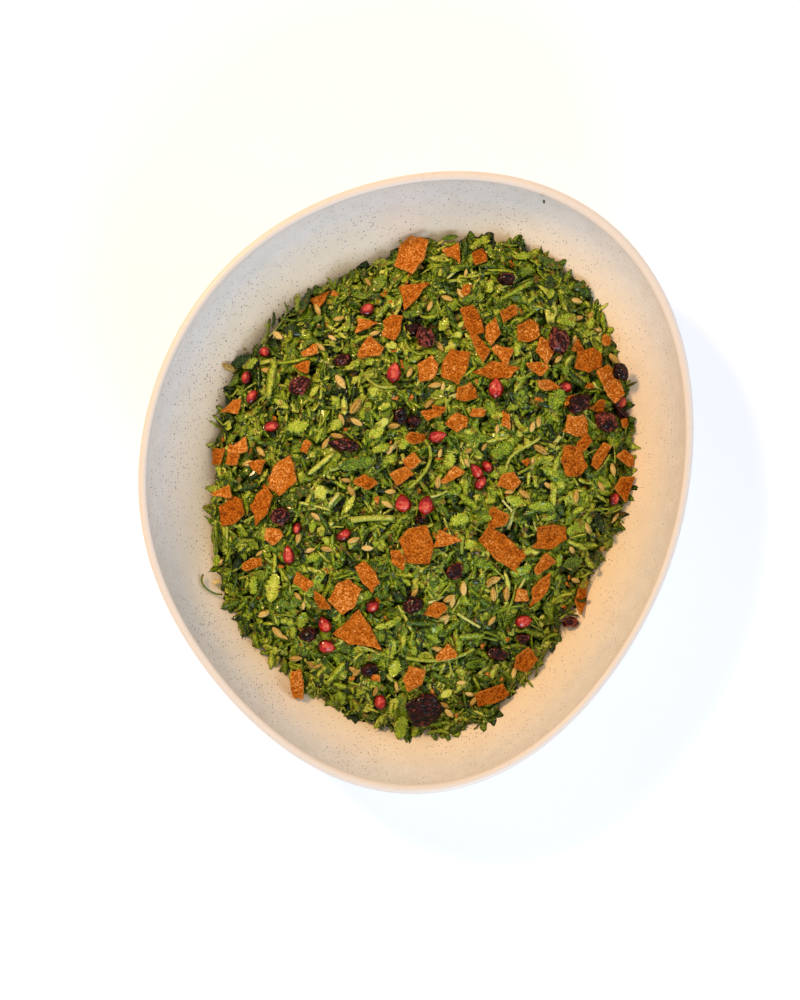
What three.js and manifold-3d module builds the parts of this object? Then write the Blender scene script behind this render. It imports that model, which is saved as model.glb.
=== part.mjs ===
// A dish of fattoush: a mound of finely chopped parsley salad in an egg-shaped stoneware bowl, with broken
// flatbread crisps, pomegranate arils, dried cranberries and sunflower kernels through it. Millimetres, +Z
// up. The origin is on the surface that the bowl stands on, under the middle of the bowl's box; +Y points
// to the far end of the bowl, the wider one.
import * as THREE from "three";
import { mergeVertices } from "three/addons/utils/BufferGeometryUtils.js";
import Module from "manifold-3d";

const wasm = await Module();
wasm.setup();

// ---------------------------------------------------------------- driving dimensions

// Bowl. Its outline in plan is a polar curve: waves around a mean radius, each with a count, a share of the
// mean radius and the direction of its crest, counted in degrees from +X as the phase of the wave.
const RIM_RADIUS = 161.2;
const RIM_WAVES = [
  { count: 1, share: 0.0324, phase: 71.4 },
  { count: 2, share: 0.0684, phase: 149.3 },
  { count: 3, share: 0.0299, phase: 127 },
  { count: 4, share: 0.0038, phase: -33.9 },
  { count: 5, share: 0.0074, phase: -91.8 },
];
const BOWL_HEIGHT = 76;
const RIM_WIDTH = 5.2;
const FLOOR_TOP = 9.5; // upper side of the bowl's floor
const FLOOR_REACH = 62; // where the flat floor starts to turn up into the wall
const WALL = 5.6;
const FOOT_RADIUS = 88;
const FOOT_WIDTH = 7;
const FOOT_HEIGHT = 3.2;
const BOWL_SIDES = 46;
const WALL_STEPS = { inside: 8, outside: 5 };

// Mound of salad
const MOUND_RADIUS = 129;
const MOUND_WAVES = [
  { count: 1, share: 0.029, phase: 40 },
  { count: 2, share: 0.097, phase: 142.4 },
  { count: 3, share: 0.037, phase: 129.5 },
  { count: 4, share: 0.007, phase: -52 },
  { count: 5, share: 0.021, phase: -36.6 },
];
const MOUND_TOP = 51;
const MOUND_FOOT = 3; // how far the mound's edge stands above the bowl where they meet
const MOUND_DOME = { flat: 2.5, steep: 0.72 }; // powers that keep its top flat and its edge steep
const RAGGED = { share: 0.02, waves: 5 }; // how far the edge strays from its outline
const SWELL = { size: 38, height: 2.6 }; // broad hills and hollows
const CLUMP = { size: 13, height: 1.8 }; // clumps of chopped leaf
const MOUND_DETAIL = 9; // how finely the mound's skin is divided
const UNDERSIDE = { gap: 0.9, share: 0.985 }; // clear of the bowl, and its share of the top's outline
const GAP = 0.35; // between pieces that rest against each other

// Sizes of what is in the salad
const CRISP_THICKNESS = 1.7;
const ARIL = { thickness: 6.4, sides: 7, rings: 5, point: 0.6, wrinkle: 0.1 };
const CRANBERRY = { thickness: 8, sides: 8, rings: 6, point: 0, wrinkle: 0.42 };
const SMALL_BERRY = { thickness: 5.6, sides: 6, rings: 4, point: 0.3, wrinkle: 0.15 };
const KERNEL = { thickness: 2.6, sides: 5, rings: 4, point: 0.9, wrinkle: 0.05 };
const KERNEL_SIZE = [9, 4.4];
const SETTLE_STEP = 0.25; // a topping is raised in such steps until it clears what is under it
const SLIVER = 0.2; // narrower ones are smoothed out of the salad
const TOUCH = 1e-6; // a smaller common volume counts as none
const GOLDEN_ANGLE = Math.PI * (3 - Math.sqrt(5));

// The plan places of the toppings are read off a photograph taken from straight above: its pixels, 0.55 mm
// each at the height of the rim, spread out a little on what lies lower.
const VIEW = { centre: [400, 500], pixel: 0.55, above: [-9, -9], distance: 750 };

// Each topping: its middle in the photograph, its length and width in pixels, and the turn of its length,
// anticlockwise from +X. A crisp has the outline named by form.
const CRISPS = [
  { at: [410, 257], size: [43, 34], turn: 75, form: "slab" },
  { at: [415, 292], size: [36, 27], turn: 25, form: "wedge" },
  { at: [454, 255], size: [24, 21], turn: -60, form: "wedge" },
  { at: [479, 257], size: [22, 18], turn: 70, form: "kite" },
  { at: [321, 299], size: [26, 20], turn: 40, form: "wedge" },
  { at: [392, 328], size: [27, 21], turn: 80, form: "slab" },
  { at: [367, 325], size: [26, 16], turn: 5, form: "wedge" },
  { at: [472, 322], size: [35, 19], turn: -68, form: "strip" },
  { at: [492, 332], size: [29, 17], turn: -100, form: "kite" },
  { at: [455, 366], size: [36, 27], turn: 70, form: "strip" },
  { at: [427, 370], size: [31, 23], turn: 65, form: "kite" },
  { at: [495, 370], size: [46, 22], turn: 14, form: "shard" },
  { at: [466, 393], size: [24, 19], turn: 10, form: "slab" },
  { at: [528, 331], size: [26, 22], turn: 20, form: "slab" },
  { at: [545, 351], size: [29, 20], turn: 100, form: "kite" },
  { at: [588, 360], size: [31, 25], turn: 10, form: "slab" },
  { at: [610, 385], size: [42, 22], turn: -60, form: "strip" },
  { at: [576, 426], size: [26, 24], turn: 0, form: "slab" },
  { at: [574, 461], size: [34, 27], turn: -80, form: "slab" },
  { at: [600, 456], size: [31, 13], turn: 58, form: "strip" },
  { at: [457, 422], size: [26, 21], turn: 15, form: "kite" },
  { at: [284, 475], size: [48, 29], turn: -105, form: "kite" },
  { at: [256, 465], size: [22, 18], turn: 165, form: "wedge" },
  { at: [231, 511], size: [31, 29], turn: 30, form: "slab" },
  { at: [261, 506], size: [45, 26], turn: 82, form: "shard" },
  { at: [416, 546], size: [41, 35], turn: 100, form: "slab" },
  { at: [398, 560], size: [27, 16], turn: 118, form: "kite" },
  { at: [449, 540], size: [32, 20], turn: -5, form: "wedge" },
  { at: [502, 549], size: [56, 25], turn: -38, form: "strip" },
  { at: [548, 537], size: [44, 31], turn: 42, form: "shard" },
  { at: [539, 590], size: [41, 17], turn: 66, form: "shard" },
  { at: [368, 576], size: [33, 17], turn: -52, form: "strip" },
  { at: [344, 596], size: [35, 29], turn: 60, form: "slab" },
  { at: [362, 636], size: [54, 42], turn: -38, form: "wedge" },
  { at: [492, 695], size: [35, 20], turn: 22, form: "strip" },
  { at: [298, 682], size: [31, 14], turn: 95, form: "strip" },
];
const ARILS = [
  { at: [394, 373], size: [23, 16], turn: 80 },
  { at: [495, 389], size: [23, 16], turn: 85 },
  { at: [403, 503], size: [20, 18], turn: 95 },
  { at: [426, 505], size: [21, 17], turn: 80 },
  { at: [437, 437], size: [20, 13], turn: 15 },
  { at: [476, 471], size: [18, 12], turn: 125 },
  { at: [327, 646], size: [19, 15], turn: -15 },
  { at: [325, 624], size: [18, 14], turn: 110 },
  { at: [289, 555], size: [21, 13], turn: 95 },
  { at: [523, 621], size: [20, 14], turn: 10 },
];
const CRANBERRIES = [
  { at: [424, 709], size: [39, 36], turn: 60 },
  { at: [558, 342], size: [29, 23], turn: -65 },
  { at: [425, 338], size: [24, 19], turn: 120 },
  { at: [578, 404], size: [29, 19], turn: 38 },
  { at: [605, 422], size: [28, 20], turn: -25 },
  { at: [617, 374], size: [21, 15], turn: -55 },
  { at: [300, 386], size: [25, 19], turn: 25 },
  { at: [344, 445], size: [32, 13], turn: -8 },
  { at: [281, 516], size: [22, 18], turn: 10 },
  { at: [413, 605], size: [23, 17], turn: 25 },
  { at: [309, 634], size: [20, 15], turn: 15 },
  { at: [506, 280], size: [20, 14], turn: 10 },
];
// Toppings smaller than a berry, one solid with the salad
const SMALL_CRISPS = [
  { at: [312, 353], size: [13, 10] },
  { at: [236, 409], size: [19, 12] },
  { at: [307, 447], size: [14, 10] },
  { at: [221, 457], size: [20, 12] },
  { at: [236, 457], size: [20, 15] },
  { at: [228, 492], size: [19, 10] },
  { at: [276, 535], size: [18, 13] },
  { at: [255, 563], size: [22, 10] },
  { at: [303, 582], size: [18, 12] },
  { at: [322, 600], size: [19, 11] },
  { at: [371, 350], size: [19, 16] },
  { at: [481, 350], size: [21, 12] },
  { at: [508, 315], size: [18, 11] },
  { at: [503, 355], size: [18, 14] },
  { at: [536, 369], size: [19, 10] },
  { at: [545, 386], size: [23, 10] },
  { at: [431, 415], size: [16, 10] },
  { at: [416, 438], size: [19, 11] },
  { at: [411, 461], size: [15, 13] },
  { at: [402, 475], size: [20, 15] },
  { at: [366, 482], size: [18, 14] },
  { at: [453, 474], size: [20, 10] },
  { at: [509, 481], size: [21, 17] },
  { at: [621, 486], size: [24, 15] },
  { at: [623, 458], size: [20, 11] },
  { at: [496, 519], size: [23, 15] },
  { at: [519, 595], size: [14, 13] },
  { at: [436, 608], size: [21, 15] },
  { at: [579, 597], size: [29, 11] },
  { at: [522, 659], size: [22, 20] },
  { at: [414, 676], size: [26, 18] },
  { at: [582, 444], size: [20, 12] },
  { at: [596, 408], size: [15, 10] },
  { at: [543, 563], size: [18, 12] },
];
const SMALL_FRUIT = [
  { at: [344, 535], size: [16, 10] },
  { at: [273, 427], size: [17, 11] },
  { at: [254, 398], size: [15, 10] },
  { at: [248, 379], size: [14, 10] },
  { at: [266, 353], size: [12, 10] },
  { at: [368, 311], size: [15, 12] },
  { at: [343, 361], size: [19, 10] },
  { at: [618, 403], size: [15, 12] },
  { at: [612, 499], size: [14, 10] },
  { at: [381, 701], size: [15, 13] },
  { at: [455, 571], size: [17, 14] },
  { at: [497, 653], size: [20, 13] },
  { at: [373, 606], size: [16, 14] },
  { at: [564, 388], size: [16, 14] },
  { at: [400, 416], size: [14, 12] },
  { at: [370, 669], size: [18, 13] },
  { at: [571, 622], size: [13, 11] },
  { at: [414, 330], size: [15, 12] },
  { at: [487, 467], size: [13, 10] },
  { at: [480, 483], size: [16, 10] },
  { at: [620, 413], size: [17, 12] },
];

// Chopped greens fused on the mound: how many of each, and their length, width and thickness
const GREENS = [
  { kind: "stem", count: 10, length: [20, 34], width: 2, thickness: 1.7 },
  { kind: "leaf", count: 40, length: [13, 20], width: 10, thickness: 1 },
  { kind: "ribbon", count: 25, length: [14, 24], width: 4.2, thickness: 1 },
];
const KERNEL_COUNT = 16;

// ---------------------------------------------------------------- small tools

// The same sequence of draws every time
function randomFrom(seed) {
  let state = seed;
  return () => {
    state = (Math.imul(state, 1664525) + 1013904223) >>> 0;
    return state / 4294967296;
  };
}

const between = (random, low, high) => low + (high - low) * random();
const radians = THREE.MathUtils.degToRad;

// A polar outline's radius at an angle
function outline(mean, waves, angle) {
  const waving = waves.map((w) => w.share * Math.cos(w.count * angle - radians(w.phase)));
  return mean * (1 + waving.reduce((sum, w) => sum + w, 0));
}

const bowlOutline = (angle) => outline(1, RIM_WAVES, angle);
const moundOutline = (angle) => outline(MOUND_RADIUS, MOUND_WAVES, angle);

// Smooth random heights between -1 and 1, one on each corner of a square lattice of the given size
function unevenness(x, y, size, seed) {
  const corner = (i, j) => {
    const s = Math.sin(i * 127.1 + j * 311.7 + seed * 74.7) * 43758.5453;
    return 2 * (s - Math.floor(s)) - 1;
  };
  const ease = (t) => t * t * (3 - 2 * t);
  const i = Math.floor(x / size);
  const j = Math.floor(y / size);
  const u = ease(x / size - i);
  const v = ease(y / size - j);
  const near = corner(i, j) * (1 - u) + corner(i + 1, j) * u;
  const far = corner(i, j + 1) * (1 - u) + corner(i + 1, j + 1) * u;
  return near * (1 - v) + far * v;
}

// A closed geometry with one vertex at each corner and no triangle that has shrunk to a line
function welded(geometry) {
  const bare = geometry.index ? geometry.toNonIndexed() : geometry.clone();
  bare.deleteAttribute("normal");
  bare.deleteAttribute("uv");
  const merged = mergeVertices(bare, 1e-3);
  const corners = Array.from(merged.index.array);
  const whole = corners.filter((_, i) => {
    const [a, b, c] = corners.slice(i - (i % 3), i - (i % 3) + 3);
    return a !== b && b !== c && c !== a;
  });
  return merged.setIndex(whole);
}

// A welded geometry as a solid to cut and join, and back
function solidOf(geometry) {
  return new wasm.Manifold(
    new wasm.Mesh({
      numProp: 3,
      vertProperties: geometry.getAttribute("position").array,
      triVerts: new Uint32Array(geometry.index.array),
    }),
  );
}

function geometryOf(solid) {
  const mesh = solid.getMesh();
  return new THREE.BufferGeometry()
    .setAttribute("position", new THREE.BufferAttribute(new Float32Array(mesh.vertProperties), 3))
    .setIndex(new THREE.BufferAttribute(new Uint32Array(mesh.triVerts), 1));
}

// Moves every corner of a closed geometry by a function that changes the point it is given
function warp(closed, change) {
  const geometry = welded(closed);
  const position = geometry.getAttribute("position");
  const point = new THREE.Vector3();
  for (let i = 0; i < position.count; i++) {
    point.fromBufferAttribute(position, i);
    change(point);
    position.setXYZ(i, point.x, point.y, point.z);
  }
  return geometry;
}

// A profile of [radius, height] points from the axis back to the axis, turned around +Z
function turned(profile, sides) {
  const points = profile.map(([r, z]) => new THREE.Vector2(r, z));
  return welded(new THREE.LatheGeometry(points, sides)).rotateX(Math.PI / 2);
}

// ---------------------------------------------------------------- bowl

// Inner side of the bowl in section, from the floor up to the inner edge of the rim
function innerWall() {
  const rim = RIM_RADIUS - RIM_WIDTH;
  return new THREE.CubicBezierCurve(
    new THREE.Vector2(FLOOR_REACH, FLOOR_TOP),
    new THREE.Vector2(0.72 * rim, FLOOR_TOP),
    new THREE.Vector2(0.965 * rim, 0.38 * BOWL_HEIGHT),
    new THREE.Vector2(rim, BOWL_HEIGHT - 2.4),
  );
}

// The bowl's closed section, from the axis under the floor round the foot, the wall and the rim and back
function bowlSection() {
  const wall = innerWall();
  const inside = wall.getPoints(WALL_STEPS.inside).map((p) => [p.x, p.y]);
  const outside = [];
  for (let i = 1; i < WALL_STEPS.outside; i++) {
    const point = wall.getPoint(0.12 + (0.88 * i) / WALL_STEPS.outside);
    const slope = wall.getTangent(0.12 + (0.88 * i) / WALL_STEPS.outside);
    outside.push([point.x + slope.y * WALL, point.y - slope.x * WALL]);
  }
  return [
    [0, FOOT_HEIGHT],
    [FOOT_RADIUS - FOOT_WIDTH - 2, FOOT_HEIGHT],
    [FOOT_RADIUS - FOOT_WIDTH, 0],
    [FOOT_RADIUS, 0],
    [FOOT_RADIUS + 1.5, FOOT_HEIGHT],
    ...outside,
    [RIM_RADIUS, BOWL_HEIGHT - 3],
    [RIM_RADIUS - 1.2, BOWL_HEIGHT - 0.6],
    [RIM_RADIUS - RIM_WIDTH / 2, BOWL_HEIGHT],
    [RIM_RADIUS - RIM_WIDTH + 0.9, BOWL_HEIGHT - 0.6],
    ...inside.reverse(),
    [0, FLOOR_TOP],
  ];
}

// Draws a round form out to the bowl's egg shape
function eggShaped(point) {
  const stretch = bowlOutline(Math.atan2(point.y, point.x));
  point.x *= stretch;
  point.y *= stretch;
}

const bowlGeometry = () => warp(turned(bowlSection(), BOWL_SIDES), eggShaped);

// Height of the bowl's inner side over a point in plan
const WALL_POINTS = innerWall().getPoints(WALL_STEPS.inside);
function bowlInsideAt(x, y) {
  const radius = Math.hypot(x, y) / bowlOutline(Math.atan2(y, x));
  if (radius <= FLOOR_REACH) return FLOOR_TOP;
  const after = WALL_POINTS.findIndex((p) => p.x > radius);
  if (after < 1) return BOWL_HEIGHT;
  const [a, b] = [WALL_POINTS[after - 1], WALL_POINTS[after]];
  return a.y + ((b.y - a.y) * (radius - a.x)) / (b.x - a.x);
}

// ---------------------------------------------------------------- mound of salad

// The mound's smooth upper side: a dome that steepens towards its edge, with broad hills and hollows
function moundTopAt(x, y) {
  const angle = Math.atan2(y, x);
  const edge = moundOutline(angle);
  const share = Math.min(1, Math.hypot(x, y) / edge);
  const foot = bowlInsideAt(edge * Math.cos(angle), edge * Math.sin(angle)) + MOUND_FOOT;
  const dome = Math.pow(1 - Math.pow(share, MOUND_DOME.flat), MOUND_DOME.steep);
  const swell = SWELL.height * unevenness(x, y, SWELL.size, 3) * (1 - share * share);
  return foot + (MOUND_TOP - foot) * dome + swell;
}

const clumpAt = (x, y) => CLUMP.height * unevenness(x, y, CLUMP.size, 7);

// What a topping lies on, the mound or the bowl's wall beyond it, and the way up from it, taken over the
// width of a topping, so that one at the edge lies across the valley between the two
const surfaceAt = (x, y) => Math.max(moundTopAt(x, y), bowlInsideAt(x, y));
function normalAt(x, y) {
  const reach = 7;
  const across = surfaceAt(x + reach, y) - surfaceAt(x - reach, y);
  const along = surfaceAt(x, y + reach) - surfaceAt(x, y - reach);
  return new THREE.Vector3(-across, -along, 2 * reach).normalize();
}

// The bare core. The upper half of a ball follows the dome above, roughened by clumps of leaf, and the
// lower half follows the bowl.
function moundCore() {
  return warp(new THREE.IcosahedronGeometry(1, MOUND_DETAIL), (point) => {
    const angle = Math.atan2(point.y, point.x);
    const above = point.z > -1e-6;
    const share = 1 - Math.asin(Math.min(1, Math.abs(point.z))) / (Math.PI / 2);
    const [across, along] = [Math.cos(angle), Math.sin(angle)];
    const ragged = 1 + RAGGED.share * unevenness(across, along, 1 / RAGGED.waves, 5);
    const radius = share * (above ? ragged : UNDERSIDE.share) * moundOutline(angle);
    point.x = radius * across;
    point.y = radius * along;
    const underside = bowlInsideAt(point.x, point.y) + UNDERSIDE.gap;
    const top = moundTopAt(point.x, point.y) + clumpAt(point.x, point.y);
    point.z = above ? Math.max(top, underside) : underside;
  });
}

// ---------------------------------------------------------------- toppings

// The point of the surface under a pixel of the photograph, and the size of a pixel there
function under([px, py]) {
  let pixel = VIEW.pixel;
  const point = new THREE.Vector3(0, 0, MOUND_TOP);
  for (let i = 0; i < 8; i++) {
    pixel = (VIEW.pixel * (VIEW.distance + BOWL_HEIGHT - point.z)) / VIEW.distance;
    point.x = VIEW.above[0] + (px - VIEW.centre[0]) * pixel;
    point.y = VIEW.above[1] + (VIEW.centre[1] - py) * pixel;
    point.z = surfaceAt(point.x, point.y);
  }
  return { point, pixel };
}

// The matrix that sets something at a point: its own +Z along the way up there, leaned by a tilt about its
// own X and Y axes, turned about that way up, and raised along it
function seat(point, { turn = 0, tilt = [0, 0], raise = 0 }) {
  const up = normalAt(point.x, point.y);
  const upright = new THREE.Quaternion().setFromUnitVectors(new THREE.Vector3(0, 0, 1), up);
  const own = new THREE.Quaternion().setFromEuler(new THREE.Euler(tilt[0], tilt[1], turn, "ZXY"));
  const place = point.clone().addScaledVector(up, raise);
  return new THREE.Matrix4().compose(place, upright.multiply(own), new THREE.Vector3(1, 1, 1));
}

// Outlines of broken flatbread, as corners in shares of half the length and half the width
const CRISP_FORMS = {
  slab: [[-1, -0.55], [-0.15, -1], [0.9, -0.8], [1, 0.3], [0.45, 1], [-0.2, 0.8], [-0.7, 0.85]],
  kite: [[-1, 0.1], [-0.55, -0.5], [-0.2, -0.95], [0.65, -0.75], [1, 0.15], [0.1, 1]],
  wedge: [[-1, -0.9], [-0.1, -0.65], [0.5, -0.15], [1, 0.05], [0.15, 0.55], [-0.75, 1], [-0.8, 0.1]],
  strip: [[-1, -0.7], [0.1, -1], [1, -0.75], [0.85, 0], [0.85, 0.8], [-0.25, 1], [-0.9, 0.75]],
  shard: [[-1, 0.25], [-0.25, -0.8], [0.55, -1], [1, -0.35], [0.5, 0.45], [-0.1, 0.95], [-0.5, 0.4]],
};

// A crisp: a thin slab of flatbread with broken edges, a little domed, its middle at the origin. The gap
// draws it out all round, for what has to stay clear of it.
function crispGeometry([length, width], form, random, gap = 0) {
  const uneven = CRISP_FORMS[form].map(([a, b]) => {
    const share = between(random, 0.9, 1.04);
    return new THREE.Vector2((share * a * length) / 2 + gap * a, (share * b * width) / 2 + gap * b);
  });
  const dome = between(random, 0.04, 0.1);
  const depth = CRISP_THICKNESS + 2 * gap;
  const slab = new THREE.ExtrudeGeometry(new THREE.Shape(uneven), { depth, bevelEnabled: false });
  return warp(slab, (p) => {
    p.z -= depth / 2 + (dome * p.x * p.x) / length + (dome * p.y * p.y) / (2 * width);
  });
}

// A rounded fruit turned around its length: blunt at one end and drawn to a point by a share at the other
function fruitGeometry([length, width, thickness], { sides, rings, point, wrinkle }, random, gap = 0) {
  const profile = [[0, -0.5]];
  for (let i = 1; i < rings; i++) {
    const girth = Math.sin(Math.PI * Math.pow(i / rings, 1 - 0.35 * point));
    profile.push([0.5 * Math.pow(girth, 0.75), i / rings - 0.5]);
  }
  profile.push([0, 0.5]);
  const creases = profile.map(() => Array.from({ length: sides }, () => 1 + wrinkle * (random() - 0.5)));
  const fruit = warp(turned(profile, sides), (p) => {
    const ring = Math.round((p.z + 0.5) * rings);
    const side = (Math.round((Math.atan2(p.y, p.x) / (2 * Math.PI)) * sides) + sides) % sides;
    const crease = ring > 0 && ring < rings ? creases[ring][side] : 1;
    p.x *= crease;
    p.y *= crease;
  });
  return fruit.rotateY(Math.PI / 2).scale(length + 2 * gap, width + 2.4 * gap, thickness + 2.4 * gap);
}

// Sets a piece where a row of the tables above has it. sink is the share of its thickness that lies below
// the surface, and lift raises it straight up.
function laid({ at, turn }, matrixSeed, thickness, sink, shapeOf, lift = 0) {
  const random = randomFrom(matrixSeed);
  const { point, pixel } = under(at);
  const tilt = [between(random, -0.12, 0.12), between(random, -0.12, 0.12)];
  const angle = radians(turn ?? between(random, 0, 180));
  const matrix = seat(point, { turn: angle, tilt, raise: thickness * (0.5 - sink) });
  return shapeOf(pixel, random).applyMatrix4(matrix).translate(0, 0, lift);
}

const crispShape = (row, gap) => (pixel, random) =>
  crispGeometry(row.size.map((s) => s * pixel), row.form, random, gap);

const fruitShape = (row, kind, gap) => (pixel, random) =>
  fruitGeometry([row.size[0] * pixel, row.size[1] * pixel, kind.thickness], kind, random, gap);

// The toppings one after the other, each raised until it clears the bowl, the mound and those before it.
// Each comes with the room that is kept clear round it.
function toppingsOn(core) {
  let below = wasm.Manifold.union([core, solidOf(bowlGeometry())]);
  const toppings = [];
  const lay = (kind, thickness, rows, shapeOf) =>
    rows.forEach((row, i) => {
      const seed = 97 * toppings.length + 11;
      const place = (gap, lift) => laid(row, seed, thickness, 0.5, shapeOf(row, gap), lift);
      let lift = 0;
      while (solidOf(place(GAP, lift)).intersect(below).volume() > TOUCH) lift += SETTLE_STEP;
      const geometry = place(0, lift);
      below = below.add(solidOf(geometry));
      const name = `${kind}_${String(i + 1).padStart(2, "0")}`;
      toppings.push({ name, kind, geometry, room: solidOf(place(GAP, lift)) });
    });
  lay("crisp", CRISP_THICKNESS, CRISPS, crispShape);
  lay("aril", ARIL.thickness, ARILS, (row, gap) => fruitShape(row, ARIL, gap));
  lay("cranberry", CRANBERRY.thickness, CRANBERRIES, (row, gap) => fruitShape(row, CRANBERRY, gap));
  return toppings;
}

// ---------------------------------------------------------------- chopped greens

// A shred of leaf cut straight: a thin ribbon, bent and twisted
function ribbonGeometry(length, width, thickness, random) {
  const bend = between(random, -0.01, 0.03);
  const twist = between(random, -0.03, 0.03);
  return warp(new THREE.BoxGeometry(length, width, thickness, 2, 1, 1), (p) => {
    const across = p.y * (1 - Math.abs(p.x) / (2 * length));
    p.y = across * Math.cos(twist * p.x);
    p.z += across * Math.sin(twist * p.x) - bend * p.x * p.x;
  });
}

// A torn piece of a parsley leaf: lobes from a narrow foot, folded along its middle
const LEAF_FORM = [[-1, 0], [-0.1, -0.95], [0.2, -0.5], [0.9, -0.6], [1, 0.35], [0.15, 0.45], [-0.3, 1]];
function leafGeometry(length, width, thickness, random) {
  const fold = between(random, 0.1, 0.4);
  const corners = LEAF_FORM.map(([a, b]) => new THREE.Vector2((a * length) / 2, (b * width) / 2));
  const shape = new THREE.Shape(corners);
  const leaf = new THREE.ExtrudeGeometry(shape, { depth: thickness, bevelEnabled: false });
  return warp(leaf, (p) => {
    p.z += fold * Math.abs(p.y) - thickness / 2 - 0.014 * p.x * p.x;
  });
}

// A length of thin stalk, gently bent
function stemGeometry(length, width, thickness, random) {
  const bend = between(random, 0.004, 0.02);
  const stalk = new THREE.CylinderGeometry(width / 2, thickness / 2, length, 5, 3).rotateZ(Math.PI / 2);
  return warp(stalk, (p) => {
    p.y += bend * p.x * p.x;
    p.z -= 0.35 * bend * p.x * p.x;
  });
}

const GREEN_SHAPES = { ribbon: ribbonGeometry, leaf: leafGeometry, stem: stemGeometry };

// Even places over the mound, each turned by the golden angle from the last
function spread(count, start, random) {
  return Array.from({ length: count }, (_, i) => {
    const angle = start + i * GOLDEN_ANGLE;
    const share = Math.min(0.97, Math.sqrt((i + 0.5) / count) + between(random, -0.02, 0.02));
    const [x, y] = [Math.cos(angle), Math.sin(angle)].map((way) => way * share * moundOutline(angle));
    return new THREE.Vector3(x, y, moundTopAt(x, y) + clumpAt(x, y));
  });
}

// The salad: the bare core, and fused on it whatever clears the bowl and the toppings. A piece that
// doesn't is turned and then shortened before it is left out.
function saladSolid(core, toppings) {
  const bowl = solidOf(bowlGeometry());
  const blocked = wasm.Manifold.union([bowl.translate([0, 0, GAP]), bowl, ...toppings.map((t) => t.room)]);
  const fused = [core];
  const fuse = (tries) => {
    for (const geometry of tries) {
      const piece = solidOf(geometry);
      if (piece.intersect(blocked).volume() > TOUCH) continue;
      fused.push(piece);
      return;
    }
  };
  const forms = Object.keys(CRISP_FORMS);
  SMALL_CRISPS.forEach((row, i) => {
    const shape = crispShape({ ...row, form: forms[i % forms.length] }, 0);
    fuse([1, 2, 3].map((k) => laid(row, 31 * i + k, CRISP_THICKNESS, 0.1, shape)));
  });
  SMALL_FRUIT.forEach((row, i) => {
    const shape = fruitShape(row, SMALL_BERRY, 0);
    fuse([1, 2, 3].map((k) => laid(row, 37 * i + k, SMALL_BERRY.thickness, 0.4, shape)));
  });
  let random = randomFrom(41);
  for (const point of spread(KERNEL_COUNT, 1.1, random)) {
    fuse([0, 1, 2].map(() => {
      const tilt = [between(random, -0.3, 0.3), between(random, -0.3, 0.3)];
      const matrix = seat(point, { turn: between(random, 0, Math.PI), tilt, raise: 0.6 });
      return fruitGeometry([...KERNEL_SIZE, KERNEL.thickness], KERNEL, random).applyMatrix4(matrix);
    }));
  }
  for (const [i, green] of GREENS.entries()) {
    random = randomFrom(53 + i);
    for (const point of spread(green.count, 2.2 * i, random)) {
      fuse([1, 1, 1, 0.6, 0.6, 0.6].map((shortened) => {
        const length = shortened * between(random, ...green.length);
        const tilt = [between(random, -0.5, 0.5), between(random, -0.3, 0.3)];
        const matrix = seat(point, { turn: between(random, 0, 2 * Math.PI), tilt, raise: 0.35 });
        const shred = GREEN_SHAPES[green.kind](length, green.width, green.thickness, random);
        return shred.applyMatrix4(matrix);
      }));
    }
  }
  const salad = wasm.Manifold.union(fused).simplify(SLIVER);
  const bodies = salad.decompose().filter((body) => body.volume() > 0);
  return bodies.reduce((largest, body) => (body.volume() > largest.volume() ? body : largest));
}

// ---------------------------------------------------------------- the dish

const MATERIALS = {
  glaze: new THREE.MeshStandardMaterial({ color: 0xd9cfc0, roughness: 0.35, metalness: 0 }),
  greens: new THREE.MeshStandardMaterial({ color: 0x3f6f1d, roughness: 0.5, metalness: 0 }),
  crisp: new THREE.MeshStandardMaterial({ color: 0xb8692a, roughness: 0.8, metalness: 0 }),
  aril: new THREE.MeshStandardMaterial({ color: 0xa0141f, roughness: 0.15, metalness: 0 }),
  cranberry: new THREE.MeshStandardMaterial({ color: 0x3a0c12, roughness: 0.35, metalness: 0 }),
};

const dish = new THREE.Group();

function add(name, geometry, material) {
  const mesh = new THREE.Mesh(geometry, MATERIALS[material]);
  mesh.name = name;
  dish.add(mesh);
  return mesh;
}

const core = solidOf(moundCore());
const toppings = toppingsOn(core);
const bowl = add("bowl", bowlGeometry(), "glaze");
add("salad", geometryOf(saladSolid(core, toppings)), "greens");
for (const { name, kind, geometry } of toppings) add(name, geometry, kind);

// The middle of the bowl's box is put over the origin
const middle = new THREE.Box3().setFromObject(bowl).getCenter(new THREE.Vector3());
dish.position.set(-middle.x, -middle.y, 0);

export default dish;
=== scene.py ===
import math

import bmesh
import bpy
import numpy as np
from mathutils import Matrix, Vector
from mathutils.bvhtree import BVHTree


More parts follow.
